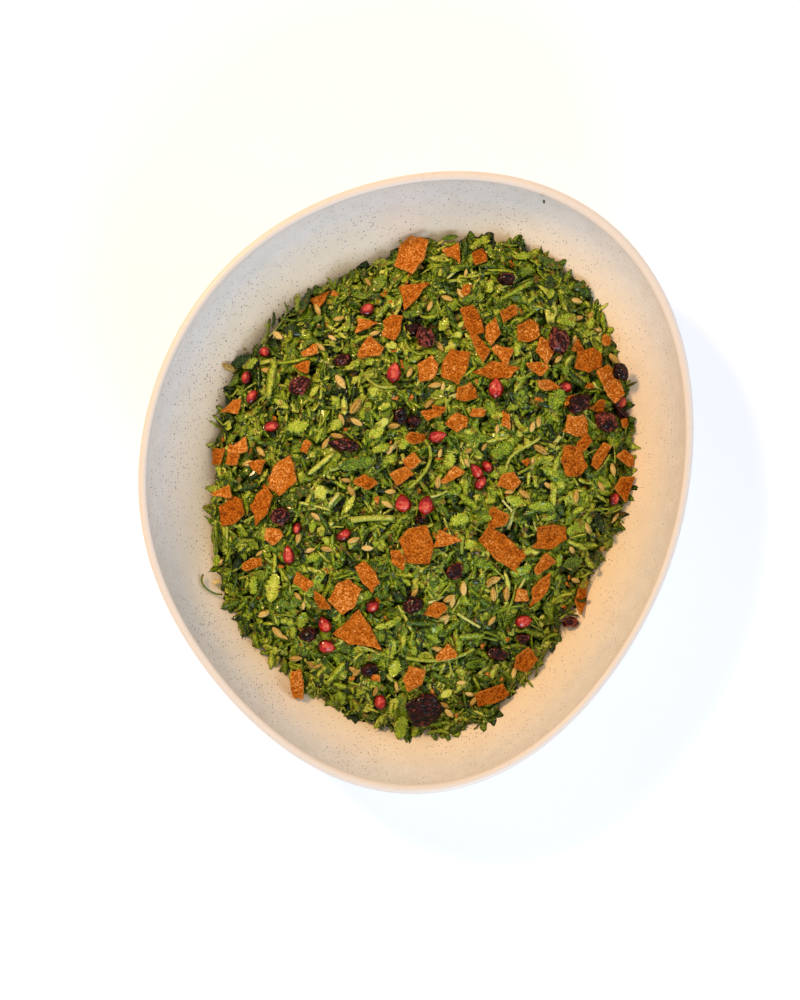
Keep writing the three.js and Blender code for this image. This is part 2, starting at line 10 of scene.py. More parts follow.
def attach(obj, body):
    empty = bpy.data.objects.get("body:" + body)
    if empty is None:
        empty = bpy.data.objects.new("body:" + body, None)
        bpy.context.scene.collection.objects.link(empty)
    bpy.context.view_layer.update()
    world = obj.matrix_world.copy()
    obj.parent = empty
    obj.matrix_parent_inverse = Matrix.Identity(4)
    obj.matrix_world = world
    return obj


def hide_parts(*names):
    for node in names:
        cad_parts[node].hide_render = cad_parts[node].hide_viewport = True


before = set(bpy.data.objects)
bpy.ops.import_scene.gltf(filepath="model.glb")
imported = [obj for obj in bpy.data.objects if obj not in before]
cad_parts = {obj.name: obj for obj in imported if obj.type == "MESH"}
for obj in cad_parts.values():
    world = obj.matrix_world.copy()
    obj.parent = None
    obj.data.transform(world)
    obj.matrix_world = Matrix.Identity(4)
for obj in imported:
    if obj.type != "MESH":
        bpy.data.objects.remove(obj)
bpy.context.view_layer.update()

# A dish of fattoush: chopped parsley with flatbread crisps, pomegranate, cranberries and sunflower kernels
# in an egg-shaped stoneware bowl. Lengths are in millimetres, in the bowl's own frame, until a mesh is
# finished, which turns them to metres in the frame of the solids.
MM = 0.001
AXIS = np.array([0.087, -0.682, 0.0])  # the bowl's own axis, as its box stands over the origin

# ---- measures of the bowl and the heap

# Outlines in plan: waves around a mean radius, each with a count, a share of that radius and a phase
RIM_WAVES = ((1, 0.0324, 71.4), (2, 0.0684, 149.3), (3, 0.0299, 127), (4, 0.0038, -33.9), (5, 0.0074, -91.8))
HEAP_WAVES = ((1, 0.029, 40), (2, 0.097, 142.4), (3, 0.037, 129.5), (4, 0.007, -52), (5, 0.021, -36.6))
RIM_RADIUS = 161.2
RIM_WIDTH = 5.2
BOWL_HEIGHT = 76
WALL = 5.6
FLOOR_TOP = 9.5
FLOOR_REACH = 62
FOOT_RADIUS = 88
FOOT_WIDTH = 7
FOOT_HEIGHT = 3.2
BOWL_STEPS = 192
HEAP_RADIUS = 129
HEAP_TOP = 51
HEAP_FOOT = 3
HEAP_DOME = (2.5, 0.72)  # powers that keep its top flat and its edge steep
SWELL = (38, 2.6)  # size and height of its broad hills
CLUMP = (13, 1.8)  # and of its clumps of leaf
DEEP = 3.6  # how far the dark core lies under the leaves' level

# The photograph: its middle, the size of a pixel at the rim, the point under its middle and the distance
VIEW_MIDDLE = (400, 500)
VIEW_PIXEL = 0.55
VIEW_POINT = (-9.0, -9.0)
VIEW_DISTANCE = 750


# ---- forms in numbers

def outline(waves, angle):
    """A polar outline's radius at angles, as a share of its mean."""
    return 1 + sum(share * np.cos(count * angle - math.radians(phase)) for count, share, phase in waves)


def lattice_noise(x, y, size, seed):
    """Smooth random heights between -1 and 1 on a square lattice, the same as the solids have."""
    def corner(i, j):
        return 2 * np.mod(np.sin(i * 127.1 + j * 311.7 + seed * 74.7) * 43758.5453, 1) - 1
    i, j = np.floor(x / size), np.floor(y / size)
    u, v = x / size - i, y / size - j
    u, v = u * u * (3 - 2 * u), v * v * (3 - 2 * v)
    near = corner(i, j) * (1 - u) + corner(i + 1, j) * u
    far = corner(i, j + 1) * (1 - u) + corner(i + 1, j + 1) * u
    return near * (1 - v) + far * v


def grain(points, size, seed):
    """Smooth random values between -1 and 1 in space, for points in rows."""
    cell = np.floor(points / size)
    part = points / size - cell
    part = part * part * (3 - 2 * part)
    total = np.zeros(len(points))
    for corner in range(8):
        step = np.array([corner & 1, corner >> 1 & 1, corner >> 2 & 1])
        weight = np.prod(np.where(step == 1, part, 1 - part), axis=1)
        key = (cell + step) @ np.array([127.1, 311.7, 74.7]) + seed * 19.19
        total += weight * (2 * np.mod(np.sin(key) * 43758.5453, 1) - 1)
    return total


def inner_wall(t):
    """The bowl's inner side in section, from the floor to the rim: radius and height for t from 0 to 1."""
    rim = RIM_RADIUS - RIM_WIDTH
    radii = (FLOOR_REACH, 0.72 * rim, 0.965 * rim, rim)
    heights = (FLOOR_TOP, FLOOR_TOP, 0.38 * BOWL_HEIGHT, BOWL_HEIGHT - 2.4)
    weights = ((1 - t) ** 3, 3 * t * (1 - t) ** 2, 3 * t * t * (1 - t), t ** 3)
    return sum(w * r for w, r in zip(weights, radii)), sum(w * h for w, h in zip(weights, heights))


INNER_RADII, INNER_HEIGHTS = inner_wall(np.linspace(0, 1, 80))


def bowl_inside(x, y):
    """Height of the bowl's inner side over points in plan."""
    radius = np.hypot(x, y) / outline(RIM_WAVES, np.arctan2(y, x))
    return np.interp(radius, INNER_RADII, INNER_HEIGHTS)


def heap_top(x, y):
    """Height of the heap's smooth upper side over points in plan."""
    angle = np.arctan2(y, x)
    edge = HEAP_RADIUS * outline(HEAP_WAVES, angle)
    share = np.minimum(1, np.hypot(x, y) / edge)
    foot = bowl_inside(edge * np.cos(angle), edge * np.sin(angle)) + HEAP_FOOT
    dome = (1 - share ** HEAP_DOME[0]) ** HEAP_DOME[1]
    return foot + (HEAP_TOP - foot) * dome + SWELL[1] * lattice_noise(x, y, SWELL[0], 3) * (1 - share ** 2)


def ground(x, y):
    """What a piece lies on: the heap, or the bowl's wall beyond it."""
    return np.maximum(heap_top(x, y), bowl_inside(x, y))


def under_pixel(pixel):
    """The point of the heap or bowl that the photograph shows at a pixel, and a pixel's size there."""
    size = VIEW_PIXEL
    for _ in range(8):
        x = VIEW_POINT[0] + (pixel[0] - VIEW_MIDDLE[0]) * size
        y = VIEW_POINT[1] + (VIEW_MIDDLE[1] - pixel[1]) * size
        z = float(ground(np.array([x]), np.array([y]))[0])
        size = VIEW_PIXEL * (VIEW_DISTANCE + BOWL_HEIGHT - z) / VIEW_DISTANCE
    return np.array([x, y, z]), size


# ---- meshes

LAID_DOWN = Matrix.Rotation(math.pi / 2, 3, "Y")  # lays along +X what stands along +Z


def placed(name, data):
    """A new object in the scene."""
    made = bpy.data.objects.new(name, data)
    bpy.context.scene.collection.objects.link(made)
    return made


def object_of(bm, name):
    """A bmesh as a new object in the scene."""
    mesh = bpy.data.meshes.new(name)
    bm.to_mesh(mesh)
    bm.free()
    return placed(name, mesh)


def arrays_of(bm):
    """The corners and triangles of a bmesh, whose faces are turned outward first."""
    bmesh.ops.recalc_face_normals(bm, faces=bm.faces)
    bmesh.ops.triangulate(bm, faces=bm.faces)
    bm.verts.index_update()
    points = np.array([vert.co[:] for vert in bm.verts])
    triangles = np.array([[vert.index for vert in face.verts] for face in bm.faces])
    bm.free()
    return points, triangles


def mesh_object(name, points, triangles, marks):
    """A smooth piece from corners in millimetres and triangles, with its marks as numbers on the corners."""
    mesh = bpy.data.meshes.new(name)
    mesh.vertices.add(len(points))
    mesh.vertices.foreach_set("co", ((points + AXIS) * MM).astype(np.float32).ravel())
    mesh.loops.add(3 * len(triangles))
    mesh.loops.foreach_set("vertex_index", triangles.astype(np.int32).ravel())
    mesh.polygons.add(len(triangles))
    mesh.polygons.foreach_set("loop_start", np.arange(0, 3 * len(triangles), 3, dtype=np.int32))
    mesh.polygons.foreach_set("use_smooth", np.full(len(triangles), True))
    for mark, values in marks.items():
        mesh.attributes.new(mark, "FLOAT", "POINT").data.foreach_set("value", values.astype(np.float32))
    mesh.update()
    return placed(name, mesh)


def joined(parts):
    """One set of corners, triangles and marks from several."""
    offsets = np.cumsum([0] + [len(points) for points, _, _ in parts])
    points = np.concatenate([part[0] for part in parts])
    triangles = np.concatenate([part[1] + offset for part, offset in zip(parts, offsets)])
    marks = {mark: np.concatenate([part[2][mark] for part in parts]) for mark in parts[0][2]}
    return points, triangles, marks


def dress(piece, material, slot, *nodes):
    """Gives a piece its finish, hangs it on the root body and hides the solids that it stands for."""
    piece.data.materials.append(material)
    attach(piece, "root")
    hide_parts(*nodes)


# ---- materials

def linear(colour):
    """A hex sRGB colour as linear red, green, blue and alpha."""
    parts = [int(colour[i:i + 2], 16) / 255 for i in (1, 3, 5)]
    return tuple(p / 12.92 if p <= 0.04045 else ((p + 0.055) / 1.055) ** 2.4 for p in parts) + (1.0,)


def feed(node, inputs):
    """Gives each of a node's sockets, by name or in order, its value or what another node makes."""
    for socket, source in (inputs if isinstance(inputs, dict) else dict(enumerate(inputs))).items():
        if isinstance(source, bpy.types.Node):
            source = next(output for output in source.outputs if output.enabled)
        if isinstance(source, bpy.types.NodeSocket):
            node.id_data.links.new(source, node.inputs[socket])
        else:
            node.inputs[socket].default_value = source


def add(tree, kind, inputs=(), stops=(), **settings):
    """Adds a shader node with its settings, what its sockets are fed and the stops on its ramp."""
    node = tree.nodes.new("ShaderNode" + kind)
    for name, setting in settings.items():
        setattr(node, name, setting)
    feed(node, inputs)
    if stops:
        ramp = node.color_ramp.elements
        while len(ramp) < len(stops):
            ramp.new(0.5)
        for element, (place, colour) in zip(ramp, stops):
            element.position = place
            element.color = linear(colour)
    return node


def new_material(name, *marks, **values):
    """A material with constant values on its shader, as itself, its node tree, its shader, Object
    coordinates and the marks that it reads off the corners."""
    material = bpy.data.materials.new(name)
    material.use_nodes = True
    tree = material.node_tree
    shader = tree.nodes["Principled BSDF"]
    feed(shader, {socket.replace("_", " "): value for socket, value in values.items()})
    place = add(tree, "TexCoord").outputs["Object"]
    read = [add(tree, "Attribute", attribute_name=mark).outputs["Fac"] for mark in marks]
    return material, tree, shader, place, *read


def speckled_glaze():
    """Satin stoneware glaze, dipped and fired: warm grey-white, with iron specks that bled through, and a rim
    of smoother peach. The eye reads soft highlights and grey-brown dots of 0.3 to 0.8 mm, about 2 mm apart.
    Low inside the bowl, where the salad lies against it, a warmer tone is painted in: painted warm light
    thrown back from the salad."""
    glaze, tree, shader, place, inside = new_material("speckled_stoneware_glaze", "inside", Coat_Weight=0.2,
                                                      Coat_Roughness=0.35)
    across, _, height = add(tree, "SeparateXYZ", [place]).outputs
    cells = add(tree, "TexVoronoi", {"Vector": place, "Scale": 1 / (1.35 * MM)})
    breadth, hue, _ = add(tree, "SeparateColor", [cells.outputs["Color"]]).outputs
    patches = add(tree, "TexNoise", {"Vector": place, "Scale": 1 / (38 * MM), "Detail": 2.0})
    leftward = add(tree, "MapRange", (across, -0.15, 0.13, 0.58, 0.36))
    crowd = add(tree, "Math", (patches, leftward), operation="MULTIPLY")
    size = add(tree, "Math", (breadth, 1.8), operation="POWER")
    reach = add(tree, "Math", (size, crowd), operation="MULTIPLY")
    fade = add(tree, "Math", (reach, 0.1), operation="ADD")
    speck = add(tree, "MapRange", (cells, reach, fade, 1.0, 0.0))
    iron = add(tree, "ValToRGB", [hue], (
        (0.0, "#7A6A60"), (0.45, "#96919A"), (0.8, "#9C8270"), (1.0, "#625A5C")))
    mottle = add(tree, "TexNoise", {"Vector": place, "Scale": 1 / (9 * MM), "Detail": 6.0, "Roughness": 0.6})
    cream = add(tree, "ValToRGB", [mottle], ((0.3, "#E8E2DB"), (0.7, "#F3EEE8")))
    # Low on the inner wall, near the salad: painted warm light, as if thrown back from the salad
    low = add(tree, "MapRange", (height, 0.058, 0.028, 0.0, 0.85))
    painted_salad_glow = add(tree, "Math", (low, inside), operation="MULTIPLY")
    salad_glow_tinted = add(tree, "Mix", {0: painted_salad_glow, 6: cream, 7: linear("#FCE2B8")}, data_type="RGBA")
    dotted = add(tree, "Mix", {0: speck, 6: salad_glow_tinted, 7: iron}, data_type="RGBA")
    lip = add(tree, "MapRange", (height, 0.0729, 0.0741))
    bare = add(tree, "Math", (lip, 0.85), operation="MULTIPLY")
    rim = add(tree, "Mix", {0: bare, 6: dotted, 7: linear("#E0D5CA")}, data_type="RGBA")
    foot = add(tree, "MapRange", (height, 0.0045, 0.0036))
    body = add(tree, "Mix", {0: foot, 6: rim, 7: linear("#A08B72")}, data_type="RGBA")
    sheen = add(tree, "MapRange", (mottle, 0.0, 1.0, 0.36, 0.5))
    ripple = add(tree, "Bump", {"Strength": 0.25, "Distance": 0.25 * MM, "Height": mottle})
    feed(shader, {"Base Color": body, "Roughness": sheen, "Normal": ripple})
    return glaze


def chopped_leaf(name, stops, wet=0.55, roughness=0.4):
    """Fresh parsley leaf, chopped and wet with oil: green, paler along its rib and its veins, with a painted
    highlight along its cut edge, crinkled under a millimetre with painted light on the tops of the crinkles
    and painted shade in their hollows, small glints, and brown in spots of about 4 mm where it bruised."""
    skin, tree, shader, place, shade, rib, along = new_material(
        name, "shade", "rib", "along", Coat_Weight=wet, Coat_Roughness=0.08, Roughness=roughness,
        Specular_IOR_Level=0.12)
    blotch = add(tree, "TexNoise", {"Vector": place, "Scale": 1 / (2.4 * MM), "Detail": 2.0})
    spread = add(tree, "MapRange", (blotch, 0.25, 0.75, -0.14, 0.14))
    crinkle = add(tree, "TexNoise", {
        "Vector": place, "Scale": 1 / (0.8 * MM), "Detail": 2.0, "Roughness": 0.6})
    # Tone from the same noise as the crinkles' bump: painted light on their tops and painted shade in their
    # hollows
    crinkle_light_and_shade = add(tree, "MapRange", (crinkle, 0.32, 0.68, -0.25, 0.25))
    slant = add(tree, "Math", (rib, 5.0, along), operation="MULTIPLY_ADD")
    wave = add(tree, "Math", [slant], operation="SINE")
    veined = add(tree, "Math", (wave, 0.05, shade), operation="MULTIPLY_ADD")
    ribbed = add(tree, "Math", (rib, 0.08, veined), operation="MULTIPLY_ADD")
    # A thin paler band along the leaf's side edges: a painted highlight, as of cut edges catching light
    cut = add(tree, "MapRange", (rib, 0.05, 0.16, 0.2, 0.0))
    tone = ribbed
    for change in (cut, spread, crinkle_light_and_shade):
        tone = add(tree, "Math", (tone, change), operation="ADD")
    green = add(tree, "ValToRGB", [tone], stops)
    patch = add(tree, "TexNoise", {"Vector": place, "Scale": 1 / (4 * MM), "Detail": 2.0})
    bruise = add(tree, "MapRange", (patch, 0.6, 0.66, 0.0, 0.7))
    brown = add(tree, "Mix", {0: bruise, 6: green, 7: linear("#865F18")}, data_type="RGBA")
    bump = add(tree, "Bump", {"Strength": 1.0, "Distance": 0.7 * MM, "Height": crinkle})
    feed(shader, {"Base Color": brown, "Normal": bump})
    return skin


def baked_flatbread():
    """Flatbread baked crisp and dusted with ground spice: orange-tan, speckled light and dark by grains under
    a millimetre, blistered at 4 mm, and paler where an edge broke."""
    crisp, tree, shader, place, edge, shade = new_material("baked_flatbread", "edge", "shade", Roughness=0.62,
                                                           Specular_IOR_Level=0.08)
    grit = add(tree, "TexVoronoi", {"Vector": place, "Scale": 1 / (0.72 * MM)})
    grains = add(tree, "SeparateColor", [grit.outputs["Color"]])
    blister = add(tree, "TexNoise", {"Vector": place, "Scale": 1 / (4 * MM), "Detail": 2.0})
    baked = add(tree, "Math", (blister, 0.5, shade), operation="MULTIPLY_ADD")
    tone = add(tree, "Math", (grains, 0.65, baked), operation="MULTIPLY_ADD")
    crust = add(tree, "ValToRGB", [tone], (
        (0.2, "#642E00"), (0.42, "#9A4C04"), (0.64, "#B4620E"), (0.84, "#C87826"), (1.0, "#ECA860")))
    broken = add(tree, "Math", (edge, 0.6), operation="MULTIPLY")
    colour = add(tree, "Mix", {0: broken, 6: crust, 7: linear("#C88638")}, data_type="RGBA")
    rough = add(tree, "Bump", {"Strength": 0.8, "Distance": 0.3 * MM, "Height": tone})
    feed(shader, {"Base Color": colour, "Normal": rough})
    return crisp


def pomegranate_skin():
    """Pomegranate arils: clear wet red flesh round a pale seed, with painted shade low down and painted
    light, pinker, on the crown that faces up, a paler tip of their own, and an uneven skin that breaks
    the glints up."""
    flesh, tree, shader, place, crown = new_material(
        "pomegranate_flesh", "edge", Roughness=0.26, Specular_IOR_Level=0.2, Coat_Weight=0.5,
        Coat_Roughness=0.07, Subsurface_Weight=0.3, Subsurface_Radius=(1.6, 0.25, 0.2),
        Subsurface_Scale=0.8 * MM)
    cloud = add(tree, "TexNoise", {"Vector": place, "Scale": 1 / (1.8 * MM), "Detail": 3.0})
    # crown: painted light where the skin faces up and painted shade low down, with the aril's own paler tip
    depth = add(tree, "Math", (cloud, 0.75, crown), operation="MULTIPLY_ADD")
    red = add(tree, "ValToRGB", [depth], (
        (0.32, "#2A0002"), (0.55, "#780504"), (0.8, "#AE160E"), (1.0, "#E06A54")))
    uneven = add(tree, "Bump", {"Strength": 0.35, "Distance": 0.3 * MM, "Height": cloud})
    feed(shader, {"Base Color": red, "Normal": uneven})
    return flesh


def dried_cranberry_skin():
    """Dried cranberries: a nearly black red skin shrunk into ridges about 1.5 mm apart, with painted light on
    the ridges and painted shade in the folds, sticky with syrup and so with small glints."""
    skin, tree, shader, place, ridge, shade = new_material(
        "dried_cranberry_skin", "edge", "shade", Roughness=0.34, Specular_IOR_Level=0.04, Coat_Weight=0.35,
        Coat_Roughness=0.06, Subsurface_Weight=0.15, Subsurface_Radius=(1.0, 0.2, 0.2),
        Subsurface_Scale=0.8 * MM)
    cloud = add(tree, "TexNoise", {"Vector": place, "Scale": 1 / (1.6 * MM), "Detail": 4.0})
    # Paler on the ridges and darker in the folds: painted light and shade
    ridged = add(tree, "Math", (ridge, 0.5, cloud), operation="MULTIPLY_ADD")
    depth = add(tree, "Math", (ridged, shade), operation="ADD")
    red = add(tree, "ValToRGB", [depth], (
        (0.5, "#060000"), (0.76, "#1E0201"), (0.94, "#44100C"), (1.0, "#823E32")))
    rough = add(tree, "Bump", {"Strength": 0.9, "Distance": 0.5 * MM, "Height": cloud})
    feed(shader, {"Base Color": red, "Normal": rough})
    return skin


def kernel_skin():
    """Hulled and toasted sunflower kernels: cream to gold, satin, with darker streaks along them."""
    kernel, tree, shader, place, ridge, shade = new_material(
        "sunflower_kernel", "edge", "shade", Roughness=0.45, Specular_IOR_Level=0.25)
    cloud = add(tree, "TexNoise", {"Vector": place, "Scale": 1 / (1.2 * MM), "Detail": 4.0})
    ridged = add(tree, "Math", (ridge, 0.26, shade), operation="MULTIPLY_ADD")
    tone = add(tree, "Math", (cloud, 0.8, ridged), operation="MULTIPLY_ADD")
    tan = add(tree, "ValToRGB", [tone], (
        (0.25, "#6A4C14"), (0.45, "#A88436"), (0.7, "#CEAC5C"), (1.0, "#ECD490")))
    bump = add(tree, "Bump", {"Strength": 0.4, "Distance": 0.3 * MM, "Height": tone})
    feed(shader, {"Base Color": tan, "Normal": bump})
    return kernel


def matte_floor():
    """A studio floor: a lit panel under matte white, a little uneven, on which shadows are pale."""
    floor, tree, shader, place = new_material("pale_floor", Roughness=0.8, Emission_Strength=0.3,
                                              Emission_Color=linear("#FFFFFF"))
    cloud = add(tree, "TexNoise", {"Vector": place, "Scale": 6.0})
    white = add(tree, "ValToRGB", [cloud], ((0.3, "#DDE1E8"), (0.7, "#E1E4EA")))
    feed(shader, {"Base Color": white})
    return floor


# ---- bowl

def bowl_section():
    """The bowl's closed section, from the axis on the floor up the wall, over the rim and under the foot."""
    inside = list(zip(*inner_wall(np.linspace(0, 1, 44))))
    middle, half, arc_height = RIM_RADIUS - RIM_WIDTH / 2, RIM_WIDTH / 2, 2.5
    rim = [(middle - half * math.cos(a), BOWL_HEIGHT - arc_height + arc_height * math.sin(a))
           for a in np.linspace(0.25, math.pi, 10)]
    t = np.linspace(0.985, 0.22, 26)
    radius, height = inner_wall(t)
    ahead = inner_wall(t + 0.001)
    slope = np.stack([ahead[0] - radius, ahead[1] - height])
    slope /= np.hypot(*slope)
    outside = list(zip(radius + WALL * slope[1], height - WALL * slope[0]))
    inner_foot = FOOT_RADIUS - FOOT_WIDTH
    foot = [(FOOT_RADIUS + 1.6, FOOT_HEIGHT), (FOOT_RADIUS + 0.7, 0.8), (FOOT_RADIUS, 0), (inner_foot, 0),
            (inner_foot - 0.8, 0.8), (inner_foot - 2.4, FOOT_HEIGHT), (FOOT_RADIUS / 2, FOOT_HEIGHT)]
    floor = [(radius, FLOOR_TOP) for radius in (0, 15, 30, 46)]
    return floor + inside + rim + outside + foot + [(0, FOOT_HEIGHT)]


def stoneware_bowl():
    """The bowl, turned and drawn out to its egg shape, with its inside marked."""
    bm = bmesh.new()
    corners = [bm.verts.new((r, 0, z)) for r, z in bowl_section()]
    edges = [bm.edges.new(pair) for pair in zip(corners, corners[1:])]
    bmesh.ops.spin(bm, geom=corners + edges, cent=(0, 0, 0), axis=(0, 0, 1), angle=math.tau, steps=BOWL_STEPS,
                   use_merge=True)
    bmesh.ops.remove_doubles(bm, verts=bm.verts, dist=0.001)
    inside = bm.verts.layers.float.new("inside")
    for vert in bm.verts:
        stretch = outline(RIM_WAVES, math.atan2(vert.co.y, vert.co.x))
        vert.co.x *= stretch
        vert.co.y *= stretch
        vert[inside] = float(vert.co.z > bowl_inside(vert.co.x, vert.co.y) - 1)
    bmesh.ops.recalc_face_normals(bm, faces=bm.faces)
    for vert in bm.verts:
        vert.co = (vert.co + Vector(AXIS)) * MM
    bowl = object_of(bm, "stoneware_bowl")
    bowl.data.shade_smooth()
    return bowl


dress(stoneware_bowl(), speckled_glaze(), "stoneware_glaze", "bowl")


# ---- toppings that stand for solids of their own

def read(items, key, kind=np.float64):
    """A property with three numbers of each item, as rows."""
    values = np.empty(3 * len(items), dtype=kind)
    items.foreach_get(key, values)
    return values.reshape(-1, 3)


def even_form(node, voxel, smoothing):
    """A copy of a solid, merged and given an even mesh, as corners in millimetres, triangles and normals."""
    bm = bmesh.new()
    bm.from_mesh(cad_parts[node].data)
    bmesh.ops.remove_doubles(bm, verts=bm.verts, dist=1e-6)
    form = object_of(bm, "form")
    even = form.modifiers.new("Even", "REMESH")
    even.mode = "VOXEL"
    even.voxel_size = voxel * MM
    soft = form.modifiers.new("Soft", "SMOOTH")
    soft.factor = 0.5
    soft.iterations = smoothing
    made = bpy.data.meshes.new_from_object(form.evaluated_get(bpy.context.evaluated_depsgraph_get()))
    made.calc_loop_triangles()
    points, normals = read(made.vertices, "co") / MM - AXIS, read(made.vertices, "normal")
    triangles = read(made.loop_triangles, "vertices", np.int32)
    for mesh in (form.data, made):
        bpy.data.meshes.remove(mesh)
    return points, triangles, normals


def broken_edge(points, triangles, normals, thickness):
    """How far each corner is on the edge of a slab, from 0 on its faces to 1, by the slab's depth there."""
    tree = BVHTree.FromPolygons(points.tolist(), triangles.tolist())
    depth = []
    for point, normal in zip(points, normals):
        inward = -Vector(normal)
        hit = tree.ray_cast(Vector(point) + 0.05 * inward, inward, 12)
        depth.append(hit[3] if hit[3] is not None else 0.0)
    side = np.clip((np.array(depth) / thickness - 1.25) / 0.9, 0, 1)
    for _ in range(4):
        total = np.zeros(len(points))
        count = np.zeros(len(points))
        for a, b in ((0, 1), (1, 2), (2, 0)):
            np.add.at(total, triangles[:, a], side[triangles[:, b]])
            np.add.at(count, triangles[:, a], 1)
        side = 0.5 * side + 0.5 * total / np.maximum(count, 1)
    return side


def long_axes(points):
    """The middle of some points and their long, middle and short directions."""
    middle = points.mean(axis=0)
    _, _, axes = np.linalg.svd(points - middle, full_matrices=False)
    return middle, axes


CRISP_THICKNESS = 1.7


def crisp_surface(points, triangles, normals, seed):
    """Blisters, grit and a ragged broken edge on a crisp, which bakes a little warped."""
    edge = broken_edge(points, triangles, normals, CRISP_THICKNESS)
    middle, axes = long_axes(points)
    along = (points - middle) @ axes.T
    warp = 0.9 * grain(along * (1, 1, 0), 9.0, seed + 5) + 0.5 * grain(along * (1, 1, 0), 4.5, seed + 6)
    blisters = 0.3 * grain(points, 4.2, seed) + 0.2 * grain(points, 1.9, seed + 1)
    grit = 0.16 * grain(points, 0.8, seed + 2)
    ragged = 0.75 * grain(points, 3.0, seed + 3) + 0.45 * grain(points, 1.3, seed + 4)
    points = points + normals * ((1 - edge) * blisters + grit + edge * ragged)[:, None]
    return points + warp[:, None] * axes[2], triangles, {"edge": np.clip(1.3 * edge, 0, 1)}


def cranberry_surface(points, triangles, normals, seed):
    """Ridges that wander along a dried cranberry, which swells a little between them, and a mark, high on
    the ridges and low in the folds, for painted light and shade.
    """
    middle, axes = long_axes(points)
    wander = 1.1 * np.stack([grain(points, 4.0, seed + 7 + k) for k in range(3)], axis=1)
    stretched = ((points - middle + wander) @ axes.T) / np.array([5.0, 1.7, 1.7])
    ridges = 1 - 2 * np.abs(grain(stretched, 1.0, seed))
    dimples = grain(points, 2.6, seed + 1)
    fine = 1 - 2 * np.abs(grain(points + wander, 1.1, seed + 2))
    points = points + normals * (0.25 + 0.42 * (ridges - 0.6) + 0.4 * dimples + 0.12 * fine)[:, None]
    # The mark: painted light on the ridges and painted shade in the folds
    return points, triangles, {"edge": np.clip(0.3 + 0.5 * ridges + 0.2 * fine, 0, 1)}


def painted_light_and_pale_tip(up, tip):
    """A mark on an aril: painted light where its skin faces up, painted shade where it faces down, and its
    own paler tip, by how near that is.
    """
    return np.clip(0.55 * np.clip(up, 0, 1) ** 2 + 0.15 * tip, 0, 1)


def aril_surface(points, triangles, normals, seed):
    """A pomegranate aril: plump, with soft flats where it was pressed, and a mark for painted light at its
    crown and for its own paler tip.
    """
    middle, axes = long_axes(points)
    along = (points - middle) @ axes[0]
    tip = np.clip(along / np.abs(along).max(), -1, 1)
    swelling = 0.15 + 0.25 * grain(points, 4.0, seed) + 0.08 * grain(points, 1.6, seed + 1)
    return points + normals * swelling[:, None], triangles, {"edge": painted_light_and_pale_tip(normals[:, 2], tip)}


CRISP, ARIL, CRANBERRY = baked_flatbread(), pomegranate_skin(), dried_cranberry_skin()
KINDS = (
    # node name, piece name and slot, count, voxel, smoothing, surface, finish
    ("crisp", "flatbread_crisp", 36, 0.5, 2, crisp_surface, CRISP),
    ("aril", "pomegranate_aril", 10, 0.45, 10, aril_surface, ARIL),
    ("cranberry", "dried_cranberry", 12, 0.42, 8, cranberry_surface, CRANBERRY),
)
random = np.random.default_rng(4)
lying = []  # corners and triangles of every topping, which leaves keep clear of


def lay(parts, points, triangles, marks, shade):
    """Adds a bit with a shade of its own to the parts of a piece and to what leaves keep clear of."""
    lying.append((points, triangles))
    parts.append((points, triangles, marks | {"shade": np.full(len(points), shade)}))


for kind, name, count, voxel, smoothing, surface, finish in KINDS:
    for number in range(1, count + 1):
        node = f"{kind}_{number:02d}"
        parts = []
        lay(parts, *surface(*even_form(node, voxel, smoothing), seed=number), random.uniform(-0.12, 0.12))
        dress(mesh_object(f"{name}_{number:02d}", *parts[0]), finish, name, node)


# ---- small toppings

# Broken bits of crisp: middle, length and width in the photograph's pixels, and turn in degrees
SMALL_CRISPS = (
    (312, 353, 13, 10, 20), (236, 409, 19, 12, 10), (307, 447, 14, 10, 60), (221, 457, 20, 12, 85),
    (236, 457, 20, 15, 70), (228, 492, 19, 10, 5), (276, 535, 18, 13, 20), (255, 563, 22, 10, 10),
    (303, 582, 18, 12, -40), (322, 600, 19, 11, -60), (371, 350, 19, 16, 30), (481, 350, 21, 12, -60),
    (508, 315, 18, 11, 20), (503, 355, 18, 14, -30), (536, 369, 19, 10, -20), (545, 386, 23, 10, -15),
    (431, 415, 16, 10, 15), (416, 438, 19, 11, -10), (411, 461, 15, 13, 40), (402, 475, 20, 15, 30),
    (366, 482, 18, 14, -40), (453, 474, 20, 10, 40), (509, 481, 21, 17, -50), (621, 486, 24, 15, 70),
    (623, 458, 20, 11, -20), (496, 519, 23, 15, 60), (519, 595, 14, 13, 0), (436, 608, 21, 15, 15),
    (579, 597, 29, 11, 80), (522, 659, 22, 20, 45), (414, 676, 26, 18, 70), (582, 444, 20, 12, 40),
    (596, 408, 15, 10, 10), (543, 563, 18, 12, 50), (603, 342, 11, 11, 0), (575, 348, 12, 10, 30),
    (588, 387, 9, 6, 0), (621, 423, 9, 8, 20), (568, 401, 10, 10, 0), (438, 411, 12, 10, 80),
    (478, 413, 14, 8, 0), (506, 421, 17, 8, 90), (466, 292, 12, 9, 90), (526, 462, 9, 7, 30),
    (376, 676, 9, 7, 0), (446, 652, 16, 12, 20), (243, 447, 20, 12, 15), (305, 369, 13, 11, 0),
)
